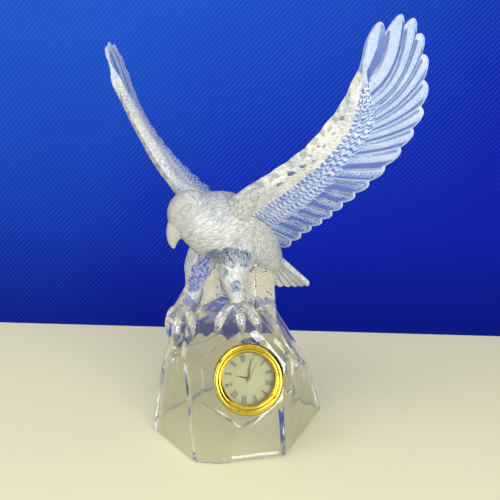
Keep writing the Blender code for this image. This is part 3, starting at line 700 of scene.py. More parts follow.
# Each facet's azimuth, lean, distance from the middle, and the height of that distance
ROCK_FACETS = [
    (0.0, -90.0, 0.0, 0.0),
    (-137.8, 8.0, 48.5, 0.0),
    (-97.0, 18.0, 48.5, 0.0),
    (-79.4, 7.0, 44.6, 0.0),
    (-28.5, 5.8, 41.0, 0.0),
    (-4.0, 15.0, 49.0, 0.0),
    (44.0, 17.0, 44.6, 0.0),
    (92.0, 13.0, 40.7, 0.0),
    (140.0, 12.0, 45.1, 0.0),
    (176.0, 9.0, 49.0, 0.0),
    (-97.0, 28.0, 26.8, 60.0),
    (-52.0, 40.0, 32.5, 57.0),
    (0.0, 33.0, 39.7, 34.3),
    (-150.0, 22.0, 40.0, 54.0),
    (178.0, 62.0, 20.0, 74.5),
    (30.0, 52.0, 17.0, 70.0),
    (115.0, 42.0, 24.0, 64.0),
    (-80.0, 66.0, 10.0, 80.0),
    (90.0, 88.0, 0.0, 84.0),
]
# The facets of the upright crag between the feet, which the eagle's belly and rump grow from
CRAG_FACETS = [
    (-2.0, 5.0, 20.5, 68.0),
    (-60.0, 12.0, 19.0, 72.0),
    (-100.0, 14.0, 14.5, 76.0),
    (180.0, 10.0, 21.5, 76.0),
    (140.0, 14.0, 26.0, 72.0),
    (92.0, 14.0, 26.0, 72.0),
    (38.0, 10.0, 27.0, 68.0),
]
# How far the crag's top leans away from level, in degrees up from the horizon
CRAG_SLOPE = 62.0
# The corners of the cup round the clock, across and up the clock's facet from the clock's middle
CUP_CORNERS = [
    (-5.0, 24.0), (13.0, 22.0), (22.5, 11.0), (22.5, -12.0), (-4.5, -26.0), (-24.0, -13.0),
    (-25.0, 9.0),
]
# The cube that a faceted form is cut from
BLOCK_SIZE = 500.0
# Height in metres under which a corner counts as standing on the table
ON_TABLE = 1e-6
# The angle over which an edge of the crystal stays sharp
FACET_CREASE = math.radians(50)


def faceted(name, planes, bevel, foot_bevel=0.0, finish=CLEAR):
    """What is left of a block when each plane of (point, direction) has cut it, edges rounded.

    The bevel round the foot is polished in front and ground behind.
    """
    bm = bmesh.new()
    bmesh.ops.create_cube(bm, size=BLOCK_SIZE * MILLIMETRE)
    for point, outward in planes:
        whole = list(bm.verts) + list(bm.edges) + list(bm.faces)
        trimmed = bmesh.ops.bisect_plane(
            bm, geom=whole, plane_co=point * MILLIMETRE, plane_no=outward, clear_outer=True
        )
        edges = [item for item in trimmed["geom_cut"] if isinstance(item, bmesh.types.BMEdge)]
        if edges:
            bmesh.ops.edgeloop_fill(bm, edges=edges)
    bmesh.ops.recalc_face_normals(bm, faces=bm.faces)
    for face in bm.faces:
        face.material_index = finish
    if foot_bevel:
        foot = [edge for edge in bm.edges if all(abs(vert.co.z) < ON_TABLE for vert in edge.verts)]
        bevelled = bmesh.ops.bevel(
            bm, geom=foot, offset=foot_bevel * MILLIMETRE, segments=1, affect="EDGES"
        )
        for face in bevelled["faces"]:
            face.material_index = SKIN if face.normal.y > 0 else CLEAR
    bmesh.ops.bevel(
        bm, geom=list(bm.edges), offset=bevel * MILLIMETRE, segments=2, affect="EDGES", profile=0.5,
    )
    bm.loops.layers.uv.new("plumage")
    block = drawn(bm, name, rock_frame())
    block.data.shade_flat()
    return block


def planes_of(facets):
    planes = []
    for azimuth, lean, distance, height in facets:
        point = toward(azimuth) * distance
        point.z = height
        planes.append((point, toward(azimuth, lean)))
    return planes


def clock_frame():
    """The clock's frame in metres: z comes out of the facet, and y points up the facet."""
    outward = -Vector(CLOCK_JOINT["axis"]).normalized()
    across = Vector((0, 0, 1)).cross(outward).normalized()
    turn = Matrix((across, outward.cross(across), outward)).transposed().to_4x4()
    return Matrix.Translation(CLOCK_JOINT["pos_m"]) @ turn


def clock_plane():
    return CLOCK_MIDDLE, -Vector(CLOCK_JOINT["axis"])


def make_rock():
    sizes = settings("rock")
    rock = faceted(
        "rock", planes_of(ROCK_FACETS) + [clock_plane()], sizes.facet_bevel, sizes.foot_chamfer
    )
    heading = math.degrees(settings("eagle").heading)
    crag_ends = [
        (Vector((0, 0, sizes.top - sizes.crag_foot)), Vector((0, 0, -1))),
        (Vector((0, 0, sizes.top + sizes.crag_rise)), toward(heading - 180, CRAG_SLOPE)),
    ]
    crag = faceted("crag", planes_of(CRAG_FACETS) + crag_ends, sizes.facet_bevel, finish=MIST)
    combine(rock, [crag], "UNION")
    return rock


def make_hollow():
    """The cutter of the hollow that the plunger leaves under the rock, clear of the clock's cup."""
    sizes = settings("rock")
    planes = [
        (Vector((0, 0, -sizes.wall)), Vector((0, 0, -1))),
        (Vector((0, 0, sizes.hollow_height)), Vector((0, 0, 1))),
    ]
    for point, outward in planes_of(ROCK_FACETS[1:]) + [clock_plane()]:
        planes.append((point - outward * sizes.wall, outward))
    hollow = faceted("hollow", planes, sizes.hollow_bevel)
    _, bottom, _ = clock_places("clock_case")
    _, _, above = clock_places("clock_rim")
    rings, blank_map = blank_rings(2, len(CUP_CORNERS))
    rings[:, :, :2] = CUP_CORNERS
    rings[0, :, 2] = bottom / MILLIMETRE - sizes.wall
    rings[1, :, 2] = above / MILLIMETRE
    cup = skin("cup", rings, blank_map, np.full((1, len(CUP_CORNERS)), CLEAR), clock_frame())
    cup.data.shade_flat()
    combine(hollow, [cup], "DIFFERENCE")
    return hollow


# The body, head and legs

# How many points stand round the body, a limb and a toe, and how many rings the body has
BODY_ROUND = 112
LIMB_ROUND = 56
TOE_ROUND = 20
BODY_ROWS = 104
# The share of a tube's length over which its direction is taken
NEARBY = 0.01
# Each station's place ahead, to the left and up, then its half width and half height
BODY_STATIONS = [
    (-46, 0, -46, 5.0, 4.0),
    (-43, 0, -43, 8.0, 7.0),
    (-36, 0, -37, 11.5, 11.0),
    (-24, 0, -27, 15.0, 16.0),
    (-8, 0, -16.5, 17.0, 19.0),
    (5, -0.5, -11, 17.0, 19.0),
    (15, -2.5, -7.5, 14.5, 16.5),
    (22, -5, -4.5, 12.5, 13.5),
    (27, -8, -2.5, 10.0, 11.0),
]
# The middle of the skull, ahead, to the left and up
HEAD_MIDDLE = (24.3, -5.0, -2.0)
# Each oval's place ahead and up, the slant of its long axis, its half height and half width
BEAK_STATIONS = [
    (4.0, -3.5, 0.80, 0.60, 7.0, 6.0),
    (7.6, -7.6, 0.85, 0.52, 5.6, 4.4),
    (9.2, -10.6, 0.93, 0.36, 4.2, 3.3),
    (9.9, -13.4, 0.99, 0.10, 2.8, 2.3),
    (9.9, -15.8, 0.98, -0.15, 1.6, 1.5),
    (9.5, -17.4, 0.95, -0.30, 0.6, 0.7),
]
# Each station's place ahead, outward and up, and its radius
BROW_STATIONS = [
    (-1.0, 6.5, 6.2, 0.5),
    (3.5, 8.6, 4.8, 1.5),
    (7.0, 7.6, 2.4, 1.3),
    (10.2, 4.6, 0.2, 0.5),
]
# The eye's place ahead, outward and up, and its radius
EYE = (5.6, 8.0, 1.6, 1.9)
# The middle of the smooth cheek, its radius, and how far round from the back the combed nape goes
CHEEK = (-1.0, 9.5, -1.0)
CHEEK_RADIUS = 6.8
NAPE_TURN = math.radians(115)
# Each leg station's place ahead, to the left and up, and its radius
RIGHT_LEG = [
    (9, -8, -23, 9.0), (7.5, -12, -34, 10.5), (8, -13.5, -42, 9.5), (11.5, -14.5, -48.5, 7.2),
    (18.5, -15.5, -53, 4.9), (25, -15.5, -58, 4.4),
]
LEFT_LEG = [
    (2, 8, -21, 10), (8, 10.5, -30, 9), (12, 12.5, -37, 6.5), (12.8, 14.5, -43, 4.5),
    (12, 15.3, -49, 4.0), (11, 15.5, -56, 3.6),
]
# Each toe's line over the rock from the foot to the talon's point, in the rock's own frame
RIGHT_TOES = [
    [(-33, -10, 72), (-37.5, -13, 70.5), (-38.8, -13.8, 63.5), (-39.3, -13.6, 57)],
    [(-33, -11, 72), (-33, -18.5, 70.5), (-33.8, -23, 64), (-34.3, -24.2, 57)],
    [(-33, -11, 72), (-28, -16, 72.5), (-25.7, -21.8, 67), (-25.3, -25.2, 60)],
]
LEFT_TOES = [
    [(-1, -17, 77), (5, -21.5, 76), (9, -25, 70), (11.5, -26.5, 63.5)],
    [(-1, -17, 77), (0, -24, 75.5), (1, -27.3, 70), (1.5, -28, 64)],
    [(-1, -17, 77), (-7, -21, 75.5), (-11, -25.3, 69), (-12.5, -27, 62.5)],
]
# Places on the breast and the thighs that were left polished, and their radius
BODY_WINDOWS = [
    (17.0, 5.2, -24.0, 5.2), (14.5, 13.1, -24.0, 5.5), (9.5, 18.0, -25.0, 4.8), (16.2, -4.0, -28.2, 4.6),
    (16.8, -7.2, -35.3, 5.8), (16.6, -12.1, -43.0, 4.5), (17.6, 11.2, -32.0, 2.2), (16.4, 17.2, -38.8, 3.2),
]
# The side of the legs that is left half clear, and how squarely a point has to face it
LEG_BACK = Vector((-0.81, -0.59, 0.0))
LEG_BACK_EDGE = 0.2
# The down: how far the edge of a row curves, as a share of a feather's length, the share of that
# length over which a feather rises, and how much lower it is at its sides
DOWN_CURVE = 0.35
DOWN_RISE = 0.25
DOWN_SIDES = 0.5
# The relief of the down on a leg over the body's, and the share of the leg along which it fades out
THIGH_RELIEF = 0.8
THIGH_FADE = 0.8
# A toe's radius, and its widths from its root to its tip over that radius
TOE_RADIUS = 2.6
TOE_WIDTHS = (1.0, 1.05, 0.85, 0.95, 0.7, 0.12)
# The height of a toe's scutes, the distance between them, and the share of the toe that they cover
SCUTE_HEIGHT = 0.10
SCUTE_PITCH = 1.7
SCUTES_END = 0.6
# Where the satin ends on a leg, and where the talon starts on a toe, as shares of their lengths
ANKLE = 0.75
TALON_START = 0.72


def eagle_frame():
    """The eagle's own frame: x ahead, y to its left, z up, from between its shoulders."""
    sizes = settings("eagle")
    shoulders = Vector((sizes.across, 0.0, settings("rock").top + sizes.rise)) * MILLIMETRE
    return rock_frame() @ Matrix.Translation(shoulders) @ Matrix.Rotation(sizes.heading, 4, "Z")


def head_frame():
    """The head's frame: x along its face, from the middle of the skull."""
    middle = Matrix.Translation(Vector(HEAD_MIDDLE) * MILLIMETRE)
    return eagle_frame() @ middle @ Matrix.Rotation(settings("eagle").head_turn, 4, "Z")


def tube(name, stations, place, rows, steps, carve, finish, upward=(0, 0, 1)):
    """A skin round a smooth line through stations of (place, half width, half height).

    Carve gives the height of the relief at a share along the line, an angle round it and a distance
    along it. Finish gives the material at a point and a share along the line.
    """
    rings, coordinates = blank_rings(rows, steps)
    finishes = np.zeros((rows - 1, steps), int)
    travelled = 0.0
    before = None
    for row in range(rows):
        place_along = row / (rows - 1)
        *centre, half_width, half_height = between(stations, place_along)
        centre = Vector(centre)
        near = Vector(between(stations, max(place_along - NEARBY, 0.0))[:3])
        far = Vector(between(stations, min(place_along + NEARBY, 1.0))[:3])
        forward = (far - near).normalized()
        side = forward.cross(Vector(upward)).normalized()
        top = side.cross(forward)
        travelled += 0.0 if before is None else (centre - before).length
        before = centre
        for step in range(steps + 1):
            turn = 2 * math.pi * step / steps
            outward = side * math.cos(turn) + top * math.sin(turn)
            point = centre + side * (half_width * math.cos(turn)) + top * (half_height * math.sin(turn))
            point += outward * carve(place_along, turn, travelled)
            coordinates[row, step] = (turn * half_width, travelled)
            if step < steps:
                rings[row, step] = point
                if row < rows - 1:
                    finishes[row, step] = finish(point, place_along)
    return skin(name, rings, coordinates, finishes, place)


def plain(place_along, turn, travelled):
    return 0.0


def body_finish(point, place_along):
    """Satin, but for a few polished windows."""
    for *middle, radius in BODY_WINDOWS:
        if (point - Vector(middle)).length < radius:
            return WINDOW
    return DOWN


def down_carving(place_along, turn, travelled):
    """Small feathers in staggered rows, each rising to its tip and dropping to the next."""
    sizes = settings("eagle")
    row = travelled / sizes.down_length
    column = turn / (2 * math.pi) * sizes.down_rows + 0.5 * (int(row) % 2)
    off_middle = abs(2 * (column % 1.0) - 1)
    lap = (row + DOWN_CURVE * off_middle**2) % 1.0
    rise = (1 - lap) * smooth(lap / DOWN_RISE)
    return sizes.down_depth * rise * (1 - DOWN_SIDES * off_middle**2)


def make_body(place):
    return tube("body", BODY_STATIONS, place, BODY_ROWS, BODY_ROUND, down_carving, body_finish)


def ball(name, place, radii, rows, steps, finish):
    """An ovoid of rings from its lower end to its upper end."""
    rings, coordinates = blank_rings(rows, steps)
    for row in range(rows):
        height = math.pi * (row + 0.5) / rows - math.pi / 2
        for step in range(steps + 1):
            turn = 2 * math.pi * step / steps
            point = (
                radii[0] * math.cos(height) * math.cos(turn),
                radii[1] * math.cos(height) * math.sin(turn),
                radii[2] * math.sin(height),
            )
            coordinates[row, step] = (turn * radii[0], height * radii[2])
            if step < steps:
                rings[row, step] = point
    return skin(name, rings, coordinates, np.full((rows - 1, steps), finish), place)


def make_beak(place):
    """The hooked beak, as ovals whose long axis runs from the mouth's corner to the brow."""
    rows = 28
    steps = 32
    rings, coordinates = blank_rings(rows, steps)
    for row in range(rows):
        ahead, up, axis_ahead, axis_up, half_height, half_width = between(BEAK_STATIONS, row / (rows - 1))
        axis = Vector((axis_ahead, 0, axis_up)).normalized()
        for step in range(steps):
            turn = 2 * math.pi * step / steps
            point = Vector((ahead, 0, up)) + axis * (half_height * math.sin(turn))
            point.y += half_width * math.cos(turn)
            rings[row, step] = point
    return skin("beak", rings, coordinates, np.full((rows - 1, steps), SKIN), place)


def comb_nape(skull):
    """Strokes that spread over the back of the skull from the middle of each cheek."""
    mesh = skull.data
    strokes = mesh.uv_layers["plumage"].data

    def from_cheek(place):
        point = place / MILLIMETRE
        off = Vector((point.x, abs(point.y), point.z)) - Vector(CHEEK)
        return math.atan2(off.z, -off.x), off.length

    for face in mesh.polygons:
        for corner in face.loop_indices:
            turn, distance = from_cheek(mesh.vertices[mesh.loops[corner].vertex_index].co)
            strokes[corner].uv = (turn * CHEEK_RADIUS, distance)
        turn, distance = from_cheek(face.center)
        if distance > CHEEK_RADIUS and abs(turn) < NAPE_TURN:
            face.material_index = DOWN


def make_head():
    sizes = settings("eagle")
    place = head_frame()
    radius = sizes.head_radius
    radii = (radius, radius * sizes.head_breadth, radius)
    skull = ball("skull", place, radii, rows=48, steps=64, finish=SKIN)
    comb_nape(skull)
    shapes = [skull, make_beak(place)]
    for side in (1, -1):
        brow = [(ahead, side * out, up, radius, radius) for ahead, out, up, radius in BROW_STATIONS]
        shapes.append(
            tube(f"brow_{side}", brow, place, rows=20, steps=16, carve=plain, finish=lambda *_: SKIN)
        )
        ahead, out, up, radius = EYE
        spot = place @ Matrix.Translation(Vector((ahead, side * out, up)) * MILLIMETRE)
        shapes.append(ball(f"eye_{side}", spot, (radius,) * 3, rows=12, steps=20, finish=SKIN))
    return shapes


def thigh_carving(place_along, turn, travelled):
    """Feathered down to the ankle."""
    return THIGH_RELIEF * down_carving(place_along, turn, travelled) * fade(place_along, THIGH_FADE)


def make_leg(name, rows, place):
    stations = [(*centre, radius, radius) for *centre, radius in rows]

    def finish(point, place_along):
        if place_along > ANKLE:
            return MIST
        centre = Vector(between(rows, place_along)[:3])
        far_side = (point - centre).normalized().dot(LEG_BACK) > LEG_BACK_EDGE
        return VEIL if far_side else body_finish(point, place_along)

    return tube(
        name, stations, place, rows=60, steps=LIMB_ROUND, carve=thigh_carving, finish=finish,
        upward=(1, 0, 0),
    )


def toe_carving(place_along, turn, travelled):
    """Scutes across the top of each toe, which end at the talon."""
    return SCUTE_HEIGHT * abs(math.sin(math.pi * travelled / SCUTE_PITCH)) * (place_along < SCUTES_END)


def make_toe(name, points):
    """A toe that arches off the foot and ends in a talon."""
    route = Route(points)
    stations = []
    for index, width in enumerate(TOE_WIDTHS):
        spot = route.at(index / (len(TOE_WIDTHS) - 1))
        stations.append((*spot, TOE_RADIUS * width, TOE_RADIUS * width))

    def finish(point, place_along):
        return MIST if place_along < TALON_START else CLEAR

    return tube(
        name, stations, rock_frame(), rows=34, steps=TOE_ROUND, carve=toe_carving, finish=finish
    )


# Wings

# The flight feathers of a wing, and how many of them, from the tip inward, are open fingers
FEATHERS = 18
FINGERS = 8
# Where the columns of mesh stand across one feather, close together at the blade's edges
FEATHER_STEPS = (0.0, 0.05, 0.12, 0.20, 0.29, 0.36, 0.43, 0.52, 0.60, 0.66, 0.74, 0.87)
# Just short of the whole breadth, so that the last column still counts to the last feather
LAST_SHARE = 0.99999
WING_ROWS = 72
# Every second feather's line from the leading edge to the body: where it leaves the bone, where it
# leaves the coverts and where it ends, each as a distance out along the span and one back from it
FEATHER_LINES = [
    (93.0, 0.0, 98.0, -3.6, 108.0, -8.6),
    (78.0, 2.8, 86.5, 11.2, 119.7, 4.6),
    (68.5, 3.0, 82.0, 17.8, 114.0, 20.6),
    (60.0, 3.0, 73.5, 22.3, 97.0, 35.6),
    (51.0, 2.2, 60.0, 23.8, 77.0, 41.2),
    (41.0, -0.1, 44.5, 25.0, 54.3, 42.4),
    (30.0, -3.1, 31.3, 26.2, 35.3, 42.2),
    (18.0, -5.8, 16.0, 26.0, 18.6, 43.0),
    (5.0, -7.4, 0.0, 25.5, 1.0, 43.4),
    (-8.0, -8.0, -17.0, 27.0, -20.0, 46.5),
]
# Each shoulder station's distance out along the span and back from it, and its radius
SHOULDER_STATIONS = [(-6, 1, 9.0), (5, -2.0, 6.8), (18, -3.4, 4.4), (33, -0.8, 2.8)]
# Each wing's side, its lift and pitch in degrees, its reach over the drawn one, and its bone's root
LEFT_WING = {
    "side": 1, "lift": 48.0, "pitch_root": 36.0, "pitch_tip": 44.0, "reach": 0.997,
    "shoulder": (4, 11, -2),
}
RIGHT_WING = {
    "side": -1, "lift": 50.5, "pitch_root": 19.0, "pitch_tip": 39.0, "reach": 1.0325,
    "shoulder": (4, 12.5, -2),
}
# How far the bone leans back for each length of it
SWEEP = 0.02
# The share of the way to the coverts' end that is the bare arm, and the rows of coverts after it
ARM_SHARE = 0.4
COVERT_STRIPS = 3
# Where the raised blade of a finger starts and ends across it, how much further across it stands on
# the feathers behind the fingers, and how soft its sides are
BLADE_START = 0.06
BLADE_END = 0.56
BLADE_SHIFT = 0.06
BLADE_SOFT = 0.12
# A blade's height behind the fingers over a finger's, and how far its barbs rise and fall from it
PLAIN_BLADE = 0.55
BARB_SWING = 0.25
# The half breadth of the shaft, and the place across and half breadth of the line beside the blade
SHAFT_WIDTH = 0.08
LINE_PLACE = 0.90
LINE_WIDTH = 0.06
# Where along a flight feather its satin tip starts, and where its barbs have ended
SATIN_TIP = 0.965
BARBS_END = 0.93
# The length in mm of the patches in which barbs come and go, and the share of them that is bare
PATCH_LENGTH = 5.5
BARE_PATCHES = 0.25
# The pitch of the barbs along a flight feather and along the coverts, in mm, and their slant
BARB_PITCH = 2.2
COVERT_PITCH = 2.3
BARB_SLANT = 1.2
# The runs along a row of coverts, in mm, that keep one start of their barbs, how far they are
# staggered from row to row, and the length and share of the runs that are barer
COVERT_RUN = 7.0
COVERT_STAGGER = 0.4
BARE_RUN = 4.5
BARE_RUNS = 0.35
# The wave's height over which a barb is satin, on the barer runs and on the others
BARE_BARB = 0.2
FULL_BARB = -0.2
# Where across a row of coverts its barbs end, and where its satin edge starts
STROKES_END = 0.85
COVERT_EDGE = 0.93
# The share of a row over which it steps down to the next, and the share of a feather's line over
# which its own carving starts behind the coverts
ROW_SOFT = 0.3
FLIGHT_FADE = 0.10
# Feathers over which the fingers pass into the plainer feathers
FINGER_FADE = 2.5
# Where the blunt tip of a feather starts along its line, the length of that tip, and how much of its
# thickness and of its relief it loses
TIP_START = 0.97
TIP_LENGTH = 0.03
TIP_THINNING = 0.55
TIP_FLATTENING = 0.7
# How much the sheet thins from the bone to the tips
SHEET_THINNING = 0.35
# The share of a feather's line over which the bone's thickness falls off, and how steeply it does
BONE_REACH = 0.55
BONE_FALL = 1.4
# How much slimmer the bone is at the wing's tip, and the share of the wing over which it fills out
BONE_SLIMMING = 0.3
BONE_FILLING = 0.5
# How far the nose stands ahead of the bone over the bone's half thickness, how much thinner the wing
# is there, and the share of a feather's line over which it is
NOSE_REACH = 0.8
NOSE_THINNING = 0.28
NOSE_LENGTH = 0.04
# The depth of the carving on the upper face over that on the lower one
UPPER_RELIEF = 0.6
# Places on the arm that were left polished: the feather, the distance from the bone and the radius
WING_WINDOWS = [
    (10.1, 1.7, 2.0), (7.7, 0.4, 0.9), (6.4, 0.0, 0.9), (6.3, 2.5, 0.9), (2.8, 0.3, 1.2),
    (11.6, 3.3, 1.6), (9.0, 2.3, 1.5), (8.3, 4.6, 1.2), (4.6, 1.6, 0.8),
]
# The breadth of a feather in mm at the arm
FEATHER_PITCH = 5.6


class FeatherLine:
    """A curve over the wing's sheet from the bone, through the edge of the coverts, to the tip."""

    def __init__(self, place_across):
        *root, knee_out, knee_back, tip_out, tip_back = between(FEATHER_LINES, place_across)
        self.root = Vector((*root, 0))
        self.knee = Vector((knee_out, knee_back, 0))
        self.tip = Vector((tip_out, tip_back, 0))
        feather = place_across * FEATHERS
        notch = tip_notch(feather) * (2 * (feather % 1.0) - 1) ** 2
        self.tip -= (self.tip - self.knee).normalized() * notch
        arm = (self.knee - self.root).length
        self.length = arm + (self.tip - self.knee).length
        self.knee_share = arm / self.length

    def at(self, row):
        knee = self.knee_share
        from_root = (row - knee) * (row - 1) / knee
        from_knee = row * (1 - row) / (knee * (1 - knee))
        from_tip = row * (row - knee) / (1 - knee)
        return self.root * from_root + self.knee * from_knee + self.tip * from_tip


def wing_point(out, back, wing):
    """A point of the wing's middle sheet and the direction of its upper face."""
    sizes = settings("wing")
    span = out / sizes.span
    lift = math.radians(wing["lift"])
    pitch_gain = wing["pitch_tip"] - wing["pitch_root"]
    pitch = math.radians(wing["pitch_root"] + pitch_gain * smooth(span))
    along = Vector((-SWEEP, math.cos(lift), math.sin(lift)))
    inward = Vector((0, -math.sin(lift), math.cos(lift)))
    rearward = Vector((-1, 0, 0))
    chord = rearward * math.cos(pitch) - inward * math.sin(pitch)
    upper = inward * math.cos(pitch) + rearward * math.sin(pitch)
    bow = inward * math.cos(sizes.bow_pitch) + rearward * math.sin(sizes.bow_pitch)
    sag = -4 * sizes.bow * span * (1 - span)
    camber = sizes.camber * math.sin(math.pi * min(max(back / sizes.chord, 0), 1))
    place = Vector(wing["shoulder"]) + (along * out + chord * back) * wing["reach"]
    return place + bow * sag + upper * camber, upper


def sawtooth(place):
    """How high a feather stands over the one that it overlaps."""
    rise = 0.14
    return place / rise if place < rise else (1 - place) / (1 - rise)


def polished(feather, distance, upper_side):
    """Whether a place on the arm is one of the small windows on the wing's lower face."""
    if upper_side:
        return False
    for middle, depth, radius in WING_WINDOWS:
        if math.hypot((feather - middle) * FEATHER_PITCH, distance - depth) < radius:
            return True
    return False


def flight_carving(feather, row, distance, lap):
    """The height of a flight feather over the lowest groove, and its finish.

    The fingers have whole satin blades. The others have satin barbs, in patches, and half clear gaps.
    """
    sizes = settings("wing")
    across = feather % 1.0
    finger = 1 - smooth((feather - FINGERS) / FINGER_FADE)
    shift = BLADE_SHIFT * (1 - finger)
    blade = plateau(across, BLADE_START + shift, BLADE_END + shift, BLADE_SOFT)
    shaft = ridge(across, SHAFT_PLACE, SHAFT_WIDTH)
    barbs = math.sin(2 * math.pi * (distance / BARB_PITCH - BARB_SLANT * abs(across - SHAFT_PLACE)))
    height = sizes.flute * lap + sizes.shaft * shaft
    height += sizes.blade * blade * (finger + (1 - finger) * (PLAIN_BLADE + BARB_SWING * barbs))
    lined = ridge(across, LINE_PLACE, LINE_WIDTH) > 0.5 or row > SATIN_TIP
    if finger > 0.5:
        return height, FEATHER if blade > 0.5 or lined else VEIL
    patch = scatter(int(feather), int(distance / PATCH_LENGTH)) > BARE_PATCHES and row < BARBS_END
    carved = blade > 0.5 and barbs > 0.1 and patch
    return height, FEATHER if carved or lined or shaft > 0.6 else VEIL


def covert_carving(strip_place, bone_distance):
    """The height of the rows of coverts, whose barbs slant to a shaft along each row."""
    sizes = settings("wing")
    index = int(strip_place)
    strip = strip_place - index
    jitter = scatter(index, int(bone_distance / COVERT_RUN + COVERT_STAGGER * index))
    turns = bone_distance / COVERT_PITCH + BARB_SLANT * abs(strip - 0.5) + jitter
    wave = math.sin(2 * math.pi * turns)
    height = sizes.barb * wave * (1 - abs(2 * strip - 1))
    bare = scatter(index, int(bone_distance / BARE_RUN)) < BARE_RUNS
    stroke = wave > (BARE_BARB if bare else FULL_BARB) and strip < STROKES_END
    return height, PLUME if stroke or strip > COVERT_EDGE else VEIL


def wing_carving(feather, row, knee, distance, bone_distance, upper_side):
    """The height of the carving over the wing's sheet, in mm, and the finish that it takes."""
    sizes = settings("wing")
    lap = sawtooth(1 - feather % 1.0 if upper_side else feather % 1.0)
    arm_end = ARM_SHARE * knee
    strip_place = (row - arm_end) / (knee - arm_end) * COVERT_STRIPS
    steps = sum(1 - smooth((strip_place - edge - 1) / ROW_SOFT + 0.5) for edge in range(COVERT_STRIPS))
    height = sizes.covert_step * steps * 2 / COVERT_STRIPS
    flight = smooth((row - knee) / FLIGHT_FADE)
    if flight > 0.0:
        carved, finish = flight_carving(feather, row, distance, lap)
        return height + flight * (carved - sizes.sunk), finish
    if row < arm_end:
        return height, WINDOW if polished(feather, distance, upper_side) else ARM
    if feather < 1.0:
        return height, FEATHER
    carved, finish = covert_carving(strip_place, bone_distance)
    return height + carved, finish


def tip_notch(feather):
    """How far the gap beside a feather's tip cuts in: deepest between the leading fingers."""
    sizes = settings("wing")
    wrist = sizes.wrist_notch * fade(feather, 3)
    return sizes.tip_notch + wrist + sizes.finger_notch * fade(feather, FINGERS)


def feather_shares(feathers):
    """Where the columns of a feathered sheet stand, as shares of its breadth."""
    shares = [(feather + step) / feathers for feather in range(feathers) for step in FEATHER_STEPS]
    shares.append(LAST_SHARE)
    return shares


def half_thickness(row, bone, tip):
    """Half the wing's thickness: it thins behind the bone, and is rounded at its nose and its tip."""
    edge = settings("wing").edge
    half = edge * (1 - SHEET_THINNING * row) + (bone - edge) * fade(row, BONE_REACH) ** BONE_FALL
    return half * (1 - NOSE_THINNING * fade(row, NOSE_LENGTH)) * (1 - TIP_THINNING * tip)


def make_wing(name, wing, place):
    """Closed sections, each from a feather's tip round the bone and back, side by side."""
    sizes = settings("wing")
    columns = feather_shares(FEATHERS)
    count = 2 * WING_ROWS + 1
    rings, coordinates = blank_rings(len(columns), count)
    finishes = np.full((len(columns) - 1, count), DOWN)
    for column, place_across in enumerate(columns):
        line = FeatherLine(place_across)
        bone_distance = FEATHER_LINES[0][0] - line.root.x
        feather = place_across * FEATHERS
        bone = sizes.bone * (1.0 - BONE_SLIMMING * fade(place_across, BONE_FILLING))
        for index in range(WING_ROWS):
            row = index / (WING_ROWS - 1)
            spot = line.at(row)
            centre, upper = wing_point(spot.x, spot.y, wing)
            tip = smooth((row - TIP_START) / TIP_LENGTH)
            half = half_thickness(row, bone, tip)
            distance = row * line.length
            for upper_side in (True, False):
                height, finish = wing_carving(
                    feather, row, line.knee_share, distance, bone_distance, upper_side
                )
                height *= (UPPER_RELIEF if upper_side else 1.0) * (1 - TIP_FLATTENING * tip)
                step = WING_ROWS - 1 - index if upper_side else WING_ROWS + 1 + index
                rings[column, step] = centre + upper * (half + height) * (1 if upper_side else -1)
                coordinates[column, step] = (feather, distance)
                if column < len(columns) - 1:
                    finishes[column, step] = finish
        knuckle = sizes.knuckle * abs(math.sin(math.pi * bone_distance / sizes.knuckle_pitch))
        nose, _ = wing_point(line.root.x, line.root.y - NOSE_REACH * bone - knuckle, wing)
        rings[column, WING_ROWS] = nose
        coordinates[column, WING_ROWS] = (feather, -bone)
        coordinates[column, count] = coordinates[column, 0]
    rings[:, :, 1] *= wing["side"]
    return skin(name, rings, coordinates, finishes, place)


def make_shoulder(name, wing, place):
    """The muscle that carries the wing's bone into the body."""
    stations = []
    for out, back, radius in SHOULDER_STATIONS:
        centre, _ = wing_point(out, back, wing)
        stations.append((centre.x, centre.y * wing["side"], centre.z, radius, radius))
    return tube(
        name, stations, place, rows=30, steps=LIMB_ROUND, carve=plain, finish=lambda *_: DOWN,
        upward=(1, 0, 0),
    )


# Tail

# The tail's root ahead of the shoulders, to the left and up, and its feathers and rows of mesh
TAIL_PLACE = (-36, 0, -36)
TAIL_FEATHERS = 7
TAIL_ROWS = 30
# How much shorter the outer feathers are, and how much of the fan's arch is lost towards the tips
FAN_ROUNDING = 0.07
CROWN_LOSS = 0.4
# Where the blunt tips start along the tail, their length, and how much of its thickness they lose
TAIL_TIP_START = 0.95
TAIL_TIP_LENGTH = 0.05
TAIL_TIP_THINNING = 0.5
# The groove beside each feather, its place across and its half breadth, and the share of the tail's
# length over which the feathers part
GROOVE_PLACE = 0.95
GROOVE_WIDTH = 0.10
FLUTE_FADE = 0.4
# Where the half clear line of each feather starts and ends across it
CLEAR_LINE_START = 0.7
CLEAR_LINE_END = 0.8


